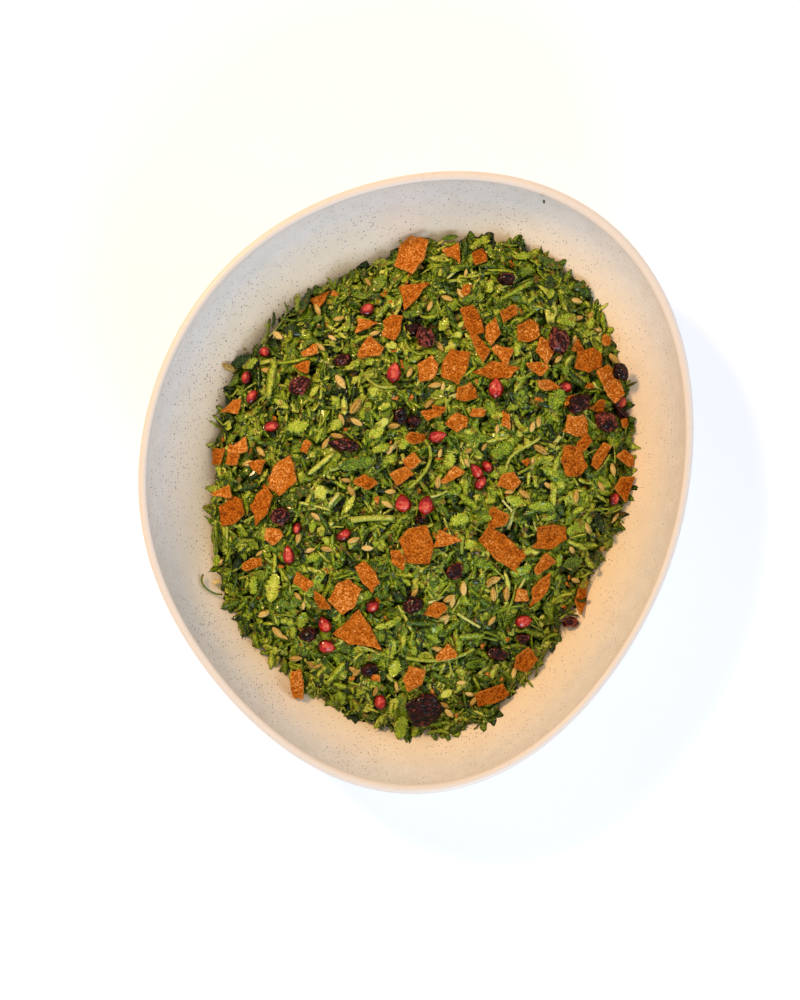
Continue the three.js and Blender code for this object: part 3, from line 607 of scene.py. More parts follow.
# Small or half-hidden fruit, in the same way
SMALL_ARILS = (
    (344, 535, 16, 10, 30), (273, 427, 17, 11, 10), (254, 398, 15, 10, 60), (248, 379, 14, 10, 80),
    (266, 353, 12, 10, 0), (368, 311, 15, 12, 40), (618, 403, 15, 12, 20), (612, 499, 14, 10, 70),
    (381, 701, 15, 13, 90), (298, 529, 12, 8, 80), (487, 467, 13, 10, 120), (480, 483, 16, 10, 60),
    (564, 388, 14, 11, 0), (373, 606, 14, 12, 30),
)
SMALL_CRANBERRIES = (
    (343, 361, 19, 10, 10), (455, 571, 17, 14, 20), (497, 653, 20, 13, -10), (400, 416, 14, 12, 60),
    (370, 669, 18, 13, 30), (571, 622, 13, 11, 0), (414, 330, 15, 12, 0), (620, 413, 17, 12, -30),
    (414, 421, 10, 10, 0), (420, 520, 10, 8, 0), (522, 637, 12, 10, 0),
)


def unit(rows):
    """Directions made 1 long."""
    return rows / np.linalg.norm(rows, axis=1)[:, None]


def frames_of(up, side):
    """Matrices whose rows are a direction across, a second one and the way up."""
    return np.stack([side, np.cross(up, side), up], axis=1)


def slope_frames(x, y, reach=4.0):
    """Frames that stand on the heap's slope at points in plan."""
    across = ground(x + reach, y) - ground(x - reach, y)
    along = ground(x, y + reach) - ground(x, y - reach)
    up = np.stack([-across, -along, np.full(len(x), 2 * reach)], axis=1)
    up = unit(up)
    return frames_of(up, unit(np.stack([up[:, 2], np.zeros(len(x)), -up[:, 0]], axis=1)))


def turned(points, degrees, lean=(0.0, 0.0)):
    """Points turned about +Z and then leaned about X and Y, angles in degrees."""
    a, b, c = (math.radians(v) for v in (degrees, *lean))
    about_z = np.array([[math.cos(a), -math.sin(a), 0], [math.sin(a), math.cos(a), 0], [0, 0, 1]])
    about_x = np.array([[1, 0, 0], [0, math.cos(b), -math.sin(b)], [0, math.sin(b), math.cos(b)]])
    about_y = np.array([[math.cos(c), 0, math.sin(c)], [0, 1, 0], [-math.sin(c), 0, math.cos(c)]])
    return points @ (about_y @ about_x @ about_z).T


def chip(length, width, thickness, cells=12):
    """A broken bit of crisp: a shard with a few straight sides, ragged along them, and a grainy skin."""
    bm = bmesh.new()
    bmesh.ops.create_grid(bm, x_segments=cells, y_segments=cells, size=1)
    top = bmesh.ops.extrude_face_region(bm, geom=bm.faces[:])["geom"]
    bmesh.ops.translate(bm, vec=(0, 0, 1), verts=[g for g in top if isinstance(g, bmesh.types.BMVert)])
    points, triangles = arrays_of(bm)
    share = np.abs(points[:, :2]).max(axis=1)
    angle = np.arctan2(points[:, 1], points[:, 0])
    sides = int(random.integers(3, 6))
    facing = np.sort(random.uniform(-0.35, 0.35, sides) + np.arange(sides) * math.tau / sides)
    distance = random.uniform(0.72, 1.0, sides)
    reach = np.min(distance / np.maximum(0.2, np.cos(angle[:, None] - facing)), axis=1)
    reach = np.minimum(reach, 1.35) / 2
    flat = np.stack([share * reach * np.cos(angle) * length, share * reach * np.sin(angle) * width], axis=1)
    rim = np.clip((share - 0.8) / 0.2, 0, 1)
    points = np.column_stack([flat, (points[:, 2] - 0.5) * thickness * (1 - 0.3 * rim)])
    seed = random.integers(99)
    ragged = np.stack([0.5 * grain(points, 2.4, seed + k) + 0.3 * grain(points, 1.1, seed + 3 + k)
                       for k in range(2)], axis=1)
    points[:, :2] += rim[:, None] * ragged
    points[:, 2] += random.uniform(-0.02, 0.035) * points[:, 0] ** 2 + 0.25 * grain(points, 1.8, seed + 6)
    return points, triangles, rim


def ball(around, along):
    """A ball 1 across with its poles on X, as corners and triangles."""
    bm = bmesh.new()
    bmesh.ops.create_uvsphere(bm, u_segments=around, v_segments=along, radius=0.5)
    bmesh.ops.rotate(bm, verts=bm.verts, cent=(0, 0, 0), matrix=LAID_DOWN)
    return arrays_of(bm)


def berry(length, width, thickness, wrinkle):
    """A small fruit, smooth or wrinkled along, with a mark: on a smooth one, painted light where it faces up
    and its own paler tip; on a wrinkled one, painted light on its ridges and painted shade in its folds.
    """
    points, triangles = ball(28, 18)
    outward = points / 0.5
    points = points * (length, width, thickness)
    ridges = 1 - 2 * np.abs(grain(points / (6, 1.3, 1.3), 1.0, random.integers(99)))
    lumps = wrinkle * (ridges - 0.5) + (0.2 + wrinkle) * grain(points, 2.8, random.integers(99))
    points = points + outward * lumps[:, None]
    if wrinkle < 0.3:
        # On a smooth fruit: painted light where it faces up, painted shade below, and its own paler tip
        return points, triangles, painted_light_and_pale_tip(outward[:, 2], outward[:, 0])
    # On a wrinkled fruit: painted light on the ridges and painted shade in the folds
    return points, triangles, np.clip(0.3 + 0.6 * ridges, 0, 1)


def seated(shape, pixel_x, pixel_y, raise_by, turn, lean):
    """A shape laid on the heap where the photograph shows it."""
    spot, _ = under_pixel((pixel_x, pixel_y))
    points = turned(shape, turn, lean)
    basis = slope_frames(spot[:1], spot[1:2])[0]
    placed = points @ basis + spot + basis[2] * raise_by
    floor = bowl_inside(placed[:, 0], placed[:, 1]) + 0.4
    placed[:, 2] += max(0, float((floor - placed[:, 2]).max()))
    return placed


def small_toppings(rows, name, material, slot, build, raise_by):
    """One piece of all the small toppings of a kind."""
    parts = []
    for x, y, length, width, turn in rows:
        pixel = under_pixel((x, y))[1]
        shape, triangles, edge = build(length * pixel, width * pixel)
        lean = random.uniform(-14, 14, 2)
        points = seated(shape, x, y, raise_by + random.uniform(0, 0.8), turn, lean)
        lay(parts, points, triangles, {"edge": edge}, random.uniform(-0.15, 0.15))
    dress(mesh_object(name, *joined(parts)), material, slot, "salad")


small_toppings(SMALL_CRISPS, "flatbread_bits", CRISP, "flatbread_crisp",
               lambda length, width: chip(length * 1.1, width * 1.1, 1.6), 2.6)
small_toppings(SMALL_ARILS, "small_pomegranate_arils", ARIL, "pomegranate_aril",
               lambda length, width: berry(length, width, 5.4, 0.12), 1.6)
small_toppings(SMALL_CRANBERRIES, "small_dried_cranberries", CRANBERRY, "dried_cranberry",
               lambda length, width: berry(length, width, 5.4, 1.0), 1.2)


def heap_places(count, clumps=None):
    """Random places over the heap's skin, in clumps of a size if asked: points, and frames on the slope."""
    angles = np.linspace(0, math.tau, 361)
    lifts = np.linspace(0, math.pi / 2, 121)
    angle, lift = np.meshgrid(angles, lifts, indexing="ij")
    radius = (1 - lift / (math.pi / 2)) * HEAP_RADIUS * outline(HEAP_WAVES, angle)
    x, y = radius * np.cos(angle), radius * np.sin(angle)
    skin = np.stack([x, y, heap_top(x, y)], axis=2)
    first, second = np.diff(skin, axis=0)[:, :-1], np.diff(skin, axis=1)[:-1]
    normal = np.cross(second, first)
    area = np.linalg.norm(normal, axis=2)
    if clumps:
        size, seed, strength = clumps
        area = area * np.clip(1 + strength * lattice_noise(x, y, size, seed), 0.04, None)[:-1, :-1]
    chosen = random.choice(area.size, count, p=area.ravel() / area.sum())
    i, j = np.unravel_index(chosen, area.shape)
    u, v = random.random((2, count, 1))
    place = skin[i, j] + u * first[i, j] + v * second[i, j]
    up = unit(normal[i, j] * np.sign(normal[i, j, 2:]))
    return place, frames_of(up, unit(np.cross(up, random.normal(size=(count, 3)))))


def leaned(frames, degrees):
    """Frames leaned by random angles about random directions across them."""
    angle = np.radians(np.abs(random.normal(0, degrees, (len(frames), 1, 1))))
    way = random.uniform(0, math.tau, (len(frames), 1))
    axis = (np.cos(way) * frames[:, 0] + np.sin(way) * frames[:, 1])[:, None]
    dot = (axis * frames).sum(axis=2, keepdims=True)
    return frames * np.cos(angle) + np.cross(axis, frames) * np.sin(angle) + axis * dot * (1 - np.cos(angle))


# Sunflower kernels that show one by one: middle in pixels, turn in degrees and length in pixels
SHOWING_KERNELS = (
    (463, 588, 88, 15), (493, 580, 20, 16), (493, 594, 95, 15), (506, 593, 85, 15), (490, 582, 60, 13),
    (449, 598, 30, 14), (452, 601, 80, 13), (444, 617, 10, 12), (491, 620, 50, 12), (473, 700, 60, 11),
    (513, 671, 70, 13), (352, 492, -60, 14), (394, 426, 5, 13), (390, 450, 60, 11), (354, 540, 20, 13),
    (299, 537, 80, 13), (327, 549, -10, 13), (368, 548, 0, 13), (558, 359, 45, 12), (440, 347, -55, 13),
    (228, 367, -20, 16), (279, 337, -35, 16), (356, 407, 55, 19), (342, 420, -75, 13), (429, 404, 50, 13),
    (440, 453, 75, 10), (438, 482, 85, 14), (497, 429, 80, 10), (532, 427, 70, 12), (538, 422, 80, 12),
    (540, 450, -35, 17), (524, 494, -35, 14), (509, 492, 10, 10), (467, 463, -60, 10), (468, 451, 30, 9),
    (484, 447, 60, 9), (369, 284, -50, 11), (340, 320, 15, 12), (375, 334, 20, 12), (333, 339, -30, 10),
    (410, 373, 65, 12), (341, 383, -55, 18), (443, 387, 80, 9), (262, 452, -45, 14), (216, 583, 10, 11),
    (261, 553, 40, 9), (279, 632, -45, 16), (286, 636, -30, 8), (297, 657, 5, 14), (319, 665, 15, 9),
    (304, 605, 80, 9), (376, 690, 70, 11), (397, 686, -80, 10), (461, 682, 10, 10), (575, 496, 80, 14),
    (571, 550, -50, 12), (477, 412, 35, 15), (613, 360, -35, 17), (588, 387, 20, 9), (466, 274, 80, 8),
)
KERNELS = 50


def kernel_form():
    """A hulled sunflower kernel along +X: a flattened drop, pointed at one end and blunt at the other, with
    ridges along it that its mark picks out."""
    points, triangles = ball(12, 8)
    ahead = 2 * points[:, 0]
    taper = np.where(ahead > 0, 1 - 0.6 * ahead ** 2, 1 - 0.15 * ahead ** 2)
    ridge = np.cos(3 * np.arctan2(points[:, 2], points[:, 1])) ** 2
    taper = taper * (0.9 + 0.14 * ridge)
    return points * np.stack([np.full(len(ahead), 8.4), 3.7 * taper, 2.6 * taper], axis=1), triangles, ridge


def sunflower_kernels():
    """All the kernels as one piece: those that show one by one, and the rest strewn over the heap."""
    form, triangles, ridge = kernel_form()
    clouds = []
    for x, y, turn, length in SHOWING_KERNELS:
        size = length * under_pixel((x, y))[1] / 8.4
        clouds.append(seated(form * size, x, y, random.uniform(1.4, 2.4), turn, random.uniform(-16, 16, 2)))
    place, frames = heap_places(KERNELS)
    frames = leaned(frames, 16)
    sizes = random.uniform(0.75, 1.0, (KERNELS, 1, 1))
    place = place + frames[:, 2] * random.uniform(0.2, 1.4, (KERNELS, 1))
    clouds += list(np.einsum("nvk,nkc->nvc", form[None] * sizes, frames) + place[:, None])
    parts = []
    for points in clouds:
        lay(parts, points, triangles, {"edge": ridge}, random.uniform(-0.1, 0.3))
    return mesh_object("sunflower_kernels", *joined(parts))


dress(sunflower_kernels(), kernel_skin(), "flatbread_crisp", "salad")


# ---- leaves that show one by one

LEAF_GREENS = ((0.0, "#0C1500"), (0.2, "#294602"), (0.4, "#547204"), (0.6, "#829E0E"), (0.8, "#B0BE26"),
               (1.0, "#DCE068"))
leaf = chopped_leaf("chopped_parsley_leaf", LEAF_GREENS)
curled_leaf = chopped_leaf("curled_parsley_leaf", LEAF_GREENS, wet=0.9)
stalk = chopped_leaf("parsley_stalk", roughness=0.36, stops=(
    (0.0, "#4A6608"), (0.4, "#869A1C"), (0.75, "#B4BC40"), (1.0, "#DADC90")))


def bent(along, across, turn, length):
    """Two measures of a form's corners, once it is bent along its length by an angle."""
    if not turn:
        return along, across
    angle, arm = turn * along / length, length / turn
    return (arm - across) * np.sin(angle), arm - (arm - across) * np.cos(angle)


def leaf_form(columns, rows, length, width, teeth, blunt, fold, curl, ruffle, thickness=0.32):
    """A bit of leaf as a closed form, thin at its edge: toothed down both sides, cut blunt or pointed at
    its ends, folded along its rib, curled along its length and ruffled. Its marks are rib, from 1 to 0 at
    its edge, and along, how far along it a corner is."""
    bm = bmesh.new()
    bmesh.ops.create_grid(bm, x_segments=columns, y_segments=rows, size=1)
    for corner in [v for v in bm.verts if len(v.link_edges) == 2]:
        cell = corner.link_faces[0]
        across = cell.verts[(list(cell.verts).index(corner) + 2) % 4]
        bmesh.utils.face_split(cell, corner, across)
    top = bmesh.ops.extrude_face_region(bm, geom=bm.faces[:])["geom"]
    for vert in (g for g in top if isinstance(g, bmesh.types.BMVert)):
        inner = min(1 - abs(vert.co.x), 1 - abs(vert.co.y))
        vert.co.z += thickness if inner > 1e-4 else 0
    bmesh.ops.remove_doubles(bm, verts=bm.verts, dist=1e-4)
    points, triangles = arrays_of(bm)
    u, v, lift = points.T
    column = np.rint((u + 1) * columns / 2).astype(int)
    row = np.rint((v + 1) * rows / 2).astype(int)
    side = (v > 0).astype(int)
    notch = np.zeros((2, columns + 1))
    for edge in notch:
        edge[random.integers(2)::2] = 1
    reach = random.uniform(0.85, 1.12, notch.shape)
    reach = reach * (1 - teeth * notch * random.uniform(0.6, 1.2, notch.shape))
    crumple = random.normal(0, 0.16, (columns + 1, rows + 1))
    y = v * width / 2 * (1 - (1 - blunt) * np.abs(u) ** 2.6) * (1 + (reach[side, column] - 1) * np.abs(v))
    swept = 0.45 * length / columns * np.abs(v) * (1 - notch[side, column])
    along = length / 2 * u * (1 + 0.12 * (1 - v ** 2)) + swept
    z = fold * np.abs(y) + ruffle * v * v * np.sin(5.2 * u + 1.3 * v) + crumple[column, row]
    x, z = bent(along, z, curl, length)
    return np.stack([x, y, z + lift], axis=1), triangles, {"rib": 1 - np.abs(v), "along": 4.8 * along}


def stalk_form(length, width, curl, flat=0.8, sides=5, rings=4):
    """A cut length of stalk, bent along an arc."""
    bm = bmesh.new()
    bmesh.ops.create_cone(bm, segments=sides, radius1=0.5, radius2=0.42, depth=1, cap_ends=True)
    along = [e for e in bm.edges if abs(e.verts[0].co.z - e.verts[1].co.z) > 0.5]
    bmesh.ops.subdivide_edges(bm, edges=along, cuts=rings - 1)
    bmesh.ops.rotate(bm, verts=bm.verts, cent=(0, 0, 0), matrix=LAID_DOWN)
    points, triangles = arrays_of(bm)
    x, y, z = (points * (length, width, width * flat)).T
    x, y = bent(x, y, curl, length)
    return np.stack([x, y, z], axis=1), triangles, {"rib": np.full(len(x), 0.3), "along": np.zeros(len(x))}


BROAD = [leaf_form(6, 4, *rest) for rest in (
    # length, width, teeth, blunt, fold, curl, ruffle
    (13, 8.2, 0.22, 0.45, 0.2, 0.5, 0.5), (11, 7.4, 0.26, 0.6, -0.25, -0.5, 0.6),
    (15, 6.2, 0.18, 0.4, 0.3, 0.9, 0.3), (9.6, 8.0, 0.24, 0.6, 0.15, -0.8, 0.6),
    (12, 6.4, 0.3, 0.35, -0.2, 0.7, 0.5), (16, 7.4, 0.2, 0.5, 0.25, -0.6, 0.4),
    (10, 5.4, 0.15, 0.8, 0.35, 1.1, 0.3), (11.4, 8.6, 0.28, 0.5, -0.3, 0.4, 0.7))]
LOBED = [leaf_form(12, 6, *rest) for rest in (
    (12, 8, 0.3, 0.4, 0.2, 0.6, 0.8), (11, 7.4, 0.36, 0.5, -0.25, -0.5, 0.9),
    (13, 7, 0.3, 0.3, 0.3, 0.8, 0.6), (10, 8, 0.34, 0.45, 0.15, -0.8, 0.9),
    (12, 6.4, 0.38, 0.2, -0.2, 0.7, 0.7))]
LEAVES = [leaf_form(6, 2, *rest) for rest in (
    (10.4, 4.4, 0.15, 0.15, 0.25, 0.7, 0.4), (7.6, 5.0, 0.25, 0.6, -0.3, -0.6, 0.6),
    (12.6, 4.0, 0.12, 0.1, 0.45, 1.1, 0.3), (7.4, 4.6, 0.2, 0.3, 0.15, 1.4, 0.7),
    (9.2, 3.6, 0.28, 0.7, -0.5, 0.4, 0.5), (13, 4.6, 0.16, 0.15, 0.3, -0.9, 0.5),
    (8.6, 3.2, 0.18, 0.8, 0.4, -1.2, 0.3), (7.8, 4.0, 0.2, 0.2, -0.2, 0.9, 0.6))]
SHREDS = [leaf_form(6, 2, *rest) for rest in (
    (14, 2.3, 0.15, 0.6, 0.3, 1.2, 0.2), (12, 2.8, 0.2, 0.5, -0.35, -0.8, 0.3),
    (17, 1.9, 0.1, 0.7, 0.2, 1.9, 0.2), (10, 2.6, 0.2, 0.8, 0.5, 0.5, 0.3),
    (13, 3.0, 0.18, 0.5, -0.2, 1.5, 0.4))]
FRILLS = [leaf_form(8, 2, *rest) for rest in (
    (7.0, 4.0, 0.4, 0.5, 0.3, 1.6, 1.2), (6.0, 4.2, 0.45, 0.6, -0.4, -1.8, 1.4),
    (8.2, 3.4, 0.35, 0.4, 0.2, 2.2, 1.1))]
STALKS = [stalk_form(*sizes) for sizes in ((15, 1.5, 0.5), (11, 1.9, -0.3), (20, 1.3, 0.9), (9, 2.2, 0.1))]
ONIONS = [stalk_form(*sizes, sides=7)
          for sizes in ((11, 3.2, 0.3, 0.5), (8, 3.6, -0.2, 0.45), (6, 3.0, 0.4, 0.6))]

# Toothed leaves, as middle, length and width in pixels, turn in degrees, and shade from dark 0 to pale 100
SHOWING_LEAVES = (
    (357, 463, 38, 17, 10, 42), (384, 407, 14, 9, 20, 80), (376, 433, 17, 14, 30, 80),
    (381, 448, 20, 10, 20, 66), (338, 425, 13, 13, 60, 80), (497, 416, 13, 10, 10, 76),
    (501, 450, 24, 19, 30, 52), (449, 461, 17, 14, 80, 74), (490, 500, 12, 10, 20, 72),
    (515, 501, 24, 14, -20, 70), (539, 505, 24, 12, 5, 62), (459, 520, 20, 16, 10, 72),
    (486, 518, 11, 9, 0, 56), (380, 285, 22, 17, 70, 50), (347, 328, 13, 10, 70, 66),
    (338, 351, 9, 8, 0, 50), (347, 351, 9, 8, 40, 48), (370, 364, 11, 9, 30, 70), (358, 364, 9, 7, 80, 62),
    (299, 427, 24, 18, 10, 74), (233, 427, 10, 9, 60, 78), (245, 431, 13, 11, 70, 52),
    (335, 426, 12, 9, 80, 80), (301, 492, 15, 12, 60, 26), (313, 526, 14, 10, 80, 66),
    (385, 625, 20, 8, 10, 72), (397, 620, 12, 10, 50, 60), (450, 238, 17, 7, 8, 40),
    (522, 258, 18, 10, 10, 66), (547, 265, 31, 15, -25, 30), (583, 288, 20, 16, -40, 24),
    (490, 287, 15, 10, 80, 76), (549, 296, 11, 9, 60, 70), (565, 321, 22, 15, 10, 66),
    (588, 325, 13, 10, 70, 74), (584, 334, 13, 7, -10, 70), (516, 350, 15, 10, 75, 76),
    (468, 301, 13, 9, 30, 44), (458, 336, 9, 8, 0, 88), (544, 367, 10, 6, 0, 74), (592, 374, 9, 7, 50, 18),
    (605, 349, 15, 7, 50, 36), (555, 400, 24, 20, 60, 54), (632, 420, 11, 7, 10, 26),
    (626, 441, 13, 10, 60, 44), (275, 587, 30, 19, 80, 84), (255, 585, 21, 12, 80, 68),
    (303, 619, 17, 14, 70, 60), (295, 602, 13, 10, 70, 50), (314, 557, 15, 12, 20, 66),
    (219, 560, 13, 10, 70, 66), (311, 646, 10, 7, 20, 70), (400, 626, 11, 9, 60, 34),
    (414, 650, 11, 8, 80, 66), (391, 622, 15, 7, 15, 74), (402, 724, 27, 17, 75, 60),
    (415, 729, 15, 9, 70, 62), (395, 667, 19, 15, 70, 76), (369, 714, 19, 8, 0, 28),
    (576, 510, 15, 8, 30, 66), (545, 507, 15, 10, 10, 64), (576, 528, 25, 18, 20, 60),
    (570, 561, 24, 17, 10, 34), (520, 570, 23, 13, 25, 60), (557, 559, 15, 10, 80, 60),
    (580, 583, 10, 9, 0, 72), (595, 555, 15, 9, 80, 24), (254, 366, 21, 12, 20, 70),
    (243, 362, 23, 14, 30, 20), (237, 382, 16, 11, 60, 50), (307, 306, 34, 12, 82, 22),
    (298, 304, 18, 8, 88, 84), (283, 405, 20, 9, -30, 76), (315, 393, 14, 8, 50, 84),
    (444, 326, 16, 14, 60, 76), (350, 505, 20, 9, 60, 86), (404, 443, 15, 12, 45, 72),
    (469, 432, 13, 7, 5, 78), (266, 325, 5, 4, 0, 80), (243, 348, 4, 4, 0, 70), (545, 198, 5, 3, 60, 30),
    (392, 346, 12, 11, -10, 94), (446, 692, 13, 10, 30, 96), (552, 494, 26, 9, 85, 80),
)
# Strips with smoother sides, in the same way
SHOWING_STRIPS = (
    (275, 323, 17, 4, 88, 22), (345, 281, 13, 6, 85, 56), (353, 281, 13, 4, 80, 50),
    (365, 277, 9, 7, 60, 24), (387, 277, 15, 5, 85, 70), (441, 276, 9, 6, 85, 84), (362, 340, 20, 6, 20, 72),
    (429, 319, 18, 6, 5, 72), (410, 330, 14, 5, 85, 72), (509, 241, 8, 4, 80, 50), (521, 246, 13, 5, 80, 30),
    (502, 272, 32, 5, -3, 72), (514, 293, 41, 6, 31, 66), (531, 300, 15, 5, 45, 70),
    (528, 316, 19, 4, 40, 66), (507, 284, 21, 9, 35, 95), (471, 371, 20, 4, 40, 76),
    (566, 362, 13, 6, 60, 84), (469, 502, 26, 8, -40, 62), (528, 478, 13, 5, 85, 84),
    (321, 464, 37, 6, 40, 94), (340, 485, 16, 5, -35, 74), (325, 523, 25, 6, -62, 28),
    (273, 381, 45, 11, 86, 72), (294, 363, 33, 6, 12, 70), (232, 604, 22, 6, 20, 34),
    (257, 615, 10, 3, 35, 24), (258, 625, 11, 3, 75, 24), (276, 563, 21, 6, 85, 80),
    (337, 671, 28, 8, 50, 72), (323, 669, 15, 5, 45, 78), (340, 684, 17, 8, -20, 66),
    (422, 622, 32, 8, 0, 30), (470, 635, 27, 8, 3, 62), (412, 636, 13, 4, 80, 70), (492, 669, 17, 8, 70, 84),
    (434, 736, 13, 6, -70, 42), (438, 729, 23, 6, 5, 56), (457, 726, 19, 8, 35, 26),
    (473, 719, 15, 4, -5, 24), (585, 560, 17, 8, -45, 76), (583, 574, 13, 4, 40, 72),
    (587, 602, 10, 5, 25, 22), (619, 517, 7, 3, 5, 20), (575, 535, 17, 3, 15, 78), (589, 305, 13, 4, 85, 18),
    (436, 481, 22, 6, 48, 60), (628, 432, 9, 2, 0, 26), (592, 294, 5, 2, 0, 20),
)
# Long thin stems: the pixels they pass, their width in pixels and shade
SHOWING_STEMS = (
    (((425, 440), (430, 453), (429, 466), (421, 476), (409, 488)), 3.5, 50),
    (((540, 437), (527, 446), (515, 453), (506, 470)), 3, 60), (((517, 474), (530, 467), (543, 458)), 3, 30),
    (((351, 520), (372, 518), (393, 518)), 6.5, 62),
    (((406, 657), (427, 660), (446, 659), (463, 654), (474, 648)), 3.5, 50),
    (((457, 613), (468, 620), (480, 627)), 3, 80), (((366, 377), (373, 384), (396, 387)), 3, 60),
    (((405, 340), (409, 349), (422, 355)), 2.6, 40), (((502, 500), (507, 506), (512, 511)), 2.6, 90),
    (((285, 303), (288, 310), (292, 316)), 1.8, 0),
    (((204, 574), (203, 583), (211, 591), (223, 594)), 2.2, 0),
    (((430, 497), (438, 495), (447, 491)), 2.6, 70),
)


def smooth_path(spots, t):
    """A smooth path through some points in space, at shares t of the way from its first to its last."""
    spots = np.array(spots)
    steps = np.concatenate([[0], np.cumsum(np.linalg.norm(np.diff(spots, axis=0), axis=1))])
    curves = [np.polyfit(steps / steps[-1], spots[:, k], min(3, len(spots) - 1)) for k in range(3)]
    return np.stack([np.polyval(curve, t) for curve in curves], axis=1)


def laid_stem(pixels, width):
    """A thin stem laid over the heap along the pixels it passes."""
    form, triangles, marks = stalk_form(1, 1, 0, 1, 6, 14)
    spots = [under_pixel(pixel)[0] for pixel in pixels]
    t = form[:, 0] + 0.5
    middle = smooth_path(spots, t)
    ahead = smooth_path(spots, t + 0.01) - middle
    side = unit(np.stack([-ahead[:, 1], ahead[:, 0], np.zeros(len(t))], axis=1))
    across = width * under_pixel(pixels[0])[1]
    points = middle + side * form[:, 1:2] * across + np.outer(form[:, 2] * across + 3.1, (0, 0, 1))
    return points, triangles, marks


def showing(name, material, rows, forms):
    """One piece of the leaves of a table, each laid where the photograph shows it."""
    parts = []
    for number, (x, y, length, width, turn, shade) in enumerate(rows):
        form, triangles, marks = forms[number % len(forms)]
        reach = np.ptp(form, axis=0)
        pixel = under_pixel((x, y))[1]
        sized = form * (length * pixel / reach[0], width * pixel / reach[1], 0.8)
        points = seated(sized, x, y, random.uniform(2.2, 3.4), turn, random.uniform(-12, 12, 2))
        lay(parts, points, triangles, marks, shade / 100 - 0.06)
    dress(mesh_object(name, *joined(parts)), material, "chopped_parsley", "salad")


showing("showing_parsley_leaves", leaf, SHOWING_LEAVES, LOBED)
showing("showing_parsley_strips", leaf, SHOWING_STRIPS, SHREDS)
parts = []
for pixels, width, shade in SHOWING_STEMS:
    lay(parts, *laid_stem(pixels, width), shade / 100)
dress(mesh_object("showing_parsley_stems", *joined(parts)), stalk, "chopped_parsley", "salad")

MAP_SIZE, MAP_REACH = 0.5, 180  # a cell of the map of the toppings, and how far the map goes


def under_cell(points):
    """The cell of the map that each point is in."""
    return tuple(((points[..., k] + MAP_REACH) / MAP_SIZE).astype(int) for k in range(2))


def lowest_over_plan():
    """A map in plan of the lowest height of any topping, with infinity where there is none."""
    side = int(2 * MAP_REACH / MAP_SIZE)
    lowest = np.full((side, side), np.inf)
    steps = [(i / 6, j / 6) for i in range(7) for j in range(7 - i)]
    for points, triangles in lying:
        a, b, c = (points[triangles[:, k]] for k in range(3))
        for u, v in steps:
            spot = a + u * (b - a) + v * (c - a)
            np.minimum.at(lowest, under_cell(spot), spot[:, 2])
    return lowest


TOPPING_MAP = lowest_over_plan()


# ---- core of the heap

def salad_core():
    """What shows between the leaves: a sheet under them, down to the bowl, in the leaf finish made very dark
    green, which is painted shade of the deep gaps among the leaves.
    """
    bm = bmesh.new()
    bmesh.ops.create_icosphere(bm, subdivisions=6, radius=1)
    points, triangles = arrays_of(bm)
    angle = np.arctan2(points[:, 1], points[:, 0])
    above = points[:, 2] > -1e-6
    share = 1 - np.arcsin(np.minimum(1, np.abs(points[:, 2]))) / (math.pi / 2)
    radius = share * np.where(above, 1.0, 0.985) * (HEAP_RADIUS - 1.5) * outline(HEAP_WAVES, angle)
    x, y = radius * np.cos(angle), radius * np.sin(angle)
    underside = bowl_inside(x, y) + 0.6
    leafy = CLUMP[1] * lattice_noise(x, y, CLUMP[0], 7) + 1.1 * lattice_noise(x, y, 4.5, 8)
    top = heap_top(x, y) + leafy + 0.7 * lattice_noise(x, y, 2.2, 9) - DEEP
    z = np.where(above, np.maximum(top, underside), underside)
    # A very dark shade: painted shade of the gaps among the leaves
    shade = 0.1 + 0.05 * lattice_noise(x, y, 3, 11)
    marks = {"shade": shade, "rib": np.full(len(x), 0.3), "along": np.zeros(len(x))}
    return mesh_object("salad_core", np.stack([x, y, z], axis=1), triangles, marks)


dress(salad_core(), leaf, "chopped_parsley", "salad")


# ---- chopped leaves

def tucked(points):
    """Moves each bit, a row of corners, down until it passes under the toppings, and off the bowl's wall."""
    over = np.maximum(0, points[..., 2] - (TOPPING_MAP[under_cell(points)] - 0.3)).max(axis=1)
    points[..., 2] -= np.minimum(over, 9)[:, None]
    points[..., 2] = np.maximum(points[..., 2], bowl_inside(points[..., 0], points[..., 1]) + 0.25)
    return points


def strewn(name, material, forms, place, frames, sizes, shades, slot="chopped_parsley"):
    """One piece of copies of a few forms, one at each place, tucked under the toppings."""
    count = len(place)
    scale = random.uniform(*sizes, (count, 1, 1)) * random.uniform(0.85, 1.2, (count, 1, 3))
    x, y = place[:, 0], place[:, 1]
    patch = 0.09 * lattice_noise(x, y, 17, 21) + 0.06 * lattice_noise(x, y, 7, 22)
    shade = np.clip(random.normal(*shades, count) + patch, 0.02, 0.98)
    which = random.integers(0, len(forms), count)
    parts = []
    for number, (form, triangles, form_marks) in enumerate(forms):
        mine = which == number
        some = mine.sum()
        points = np.einsum("nvk,nkc->nvc", form[None] * scale[mine], frames[mine]) + place[mine][:, None]
        faces = (triangles[None] + (np.arange(some) * len(form))[:, None, None]).reshape(-1, 3)
        marks = {key: np.tile(mark, some) for key, mark in form_marks.items()}
        marks["shade"] = np.repeat(shade[mine], len(form))
        parts.append((tucked(points).reshape(-1, 3), faces, marks))
    dress(mesh_object(name, *joined(parts)), material, slot, "salad")


def scattered(name, material, forms, count, sizes, depths, lean, shades, clumps=None):
    """One piece of many copies of a few forms, over the whole heap."""
    place, frames = heap_places(count, clumps)
    frames = leaned(frames, lean)
    place = place + frames[:, 2] * random.uniform(*depths, (count, 1))
    place[:, 2] += CLUMP[1] * lattice_noise(place[:, 0], place[:, 1], CLUMP[0], 7)
    strewn(name, material, forms, place, frames, sizes, shades)


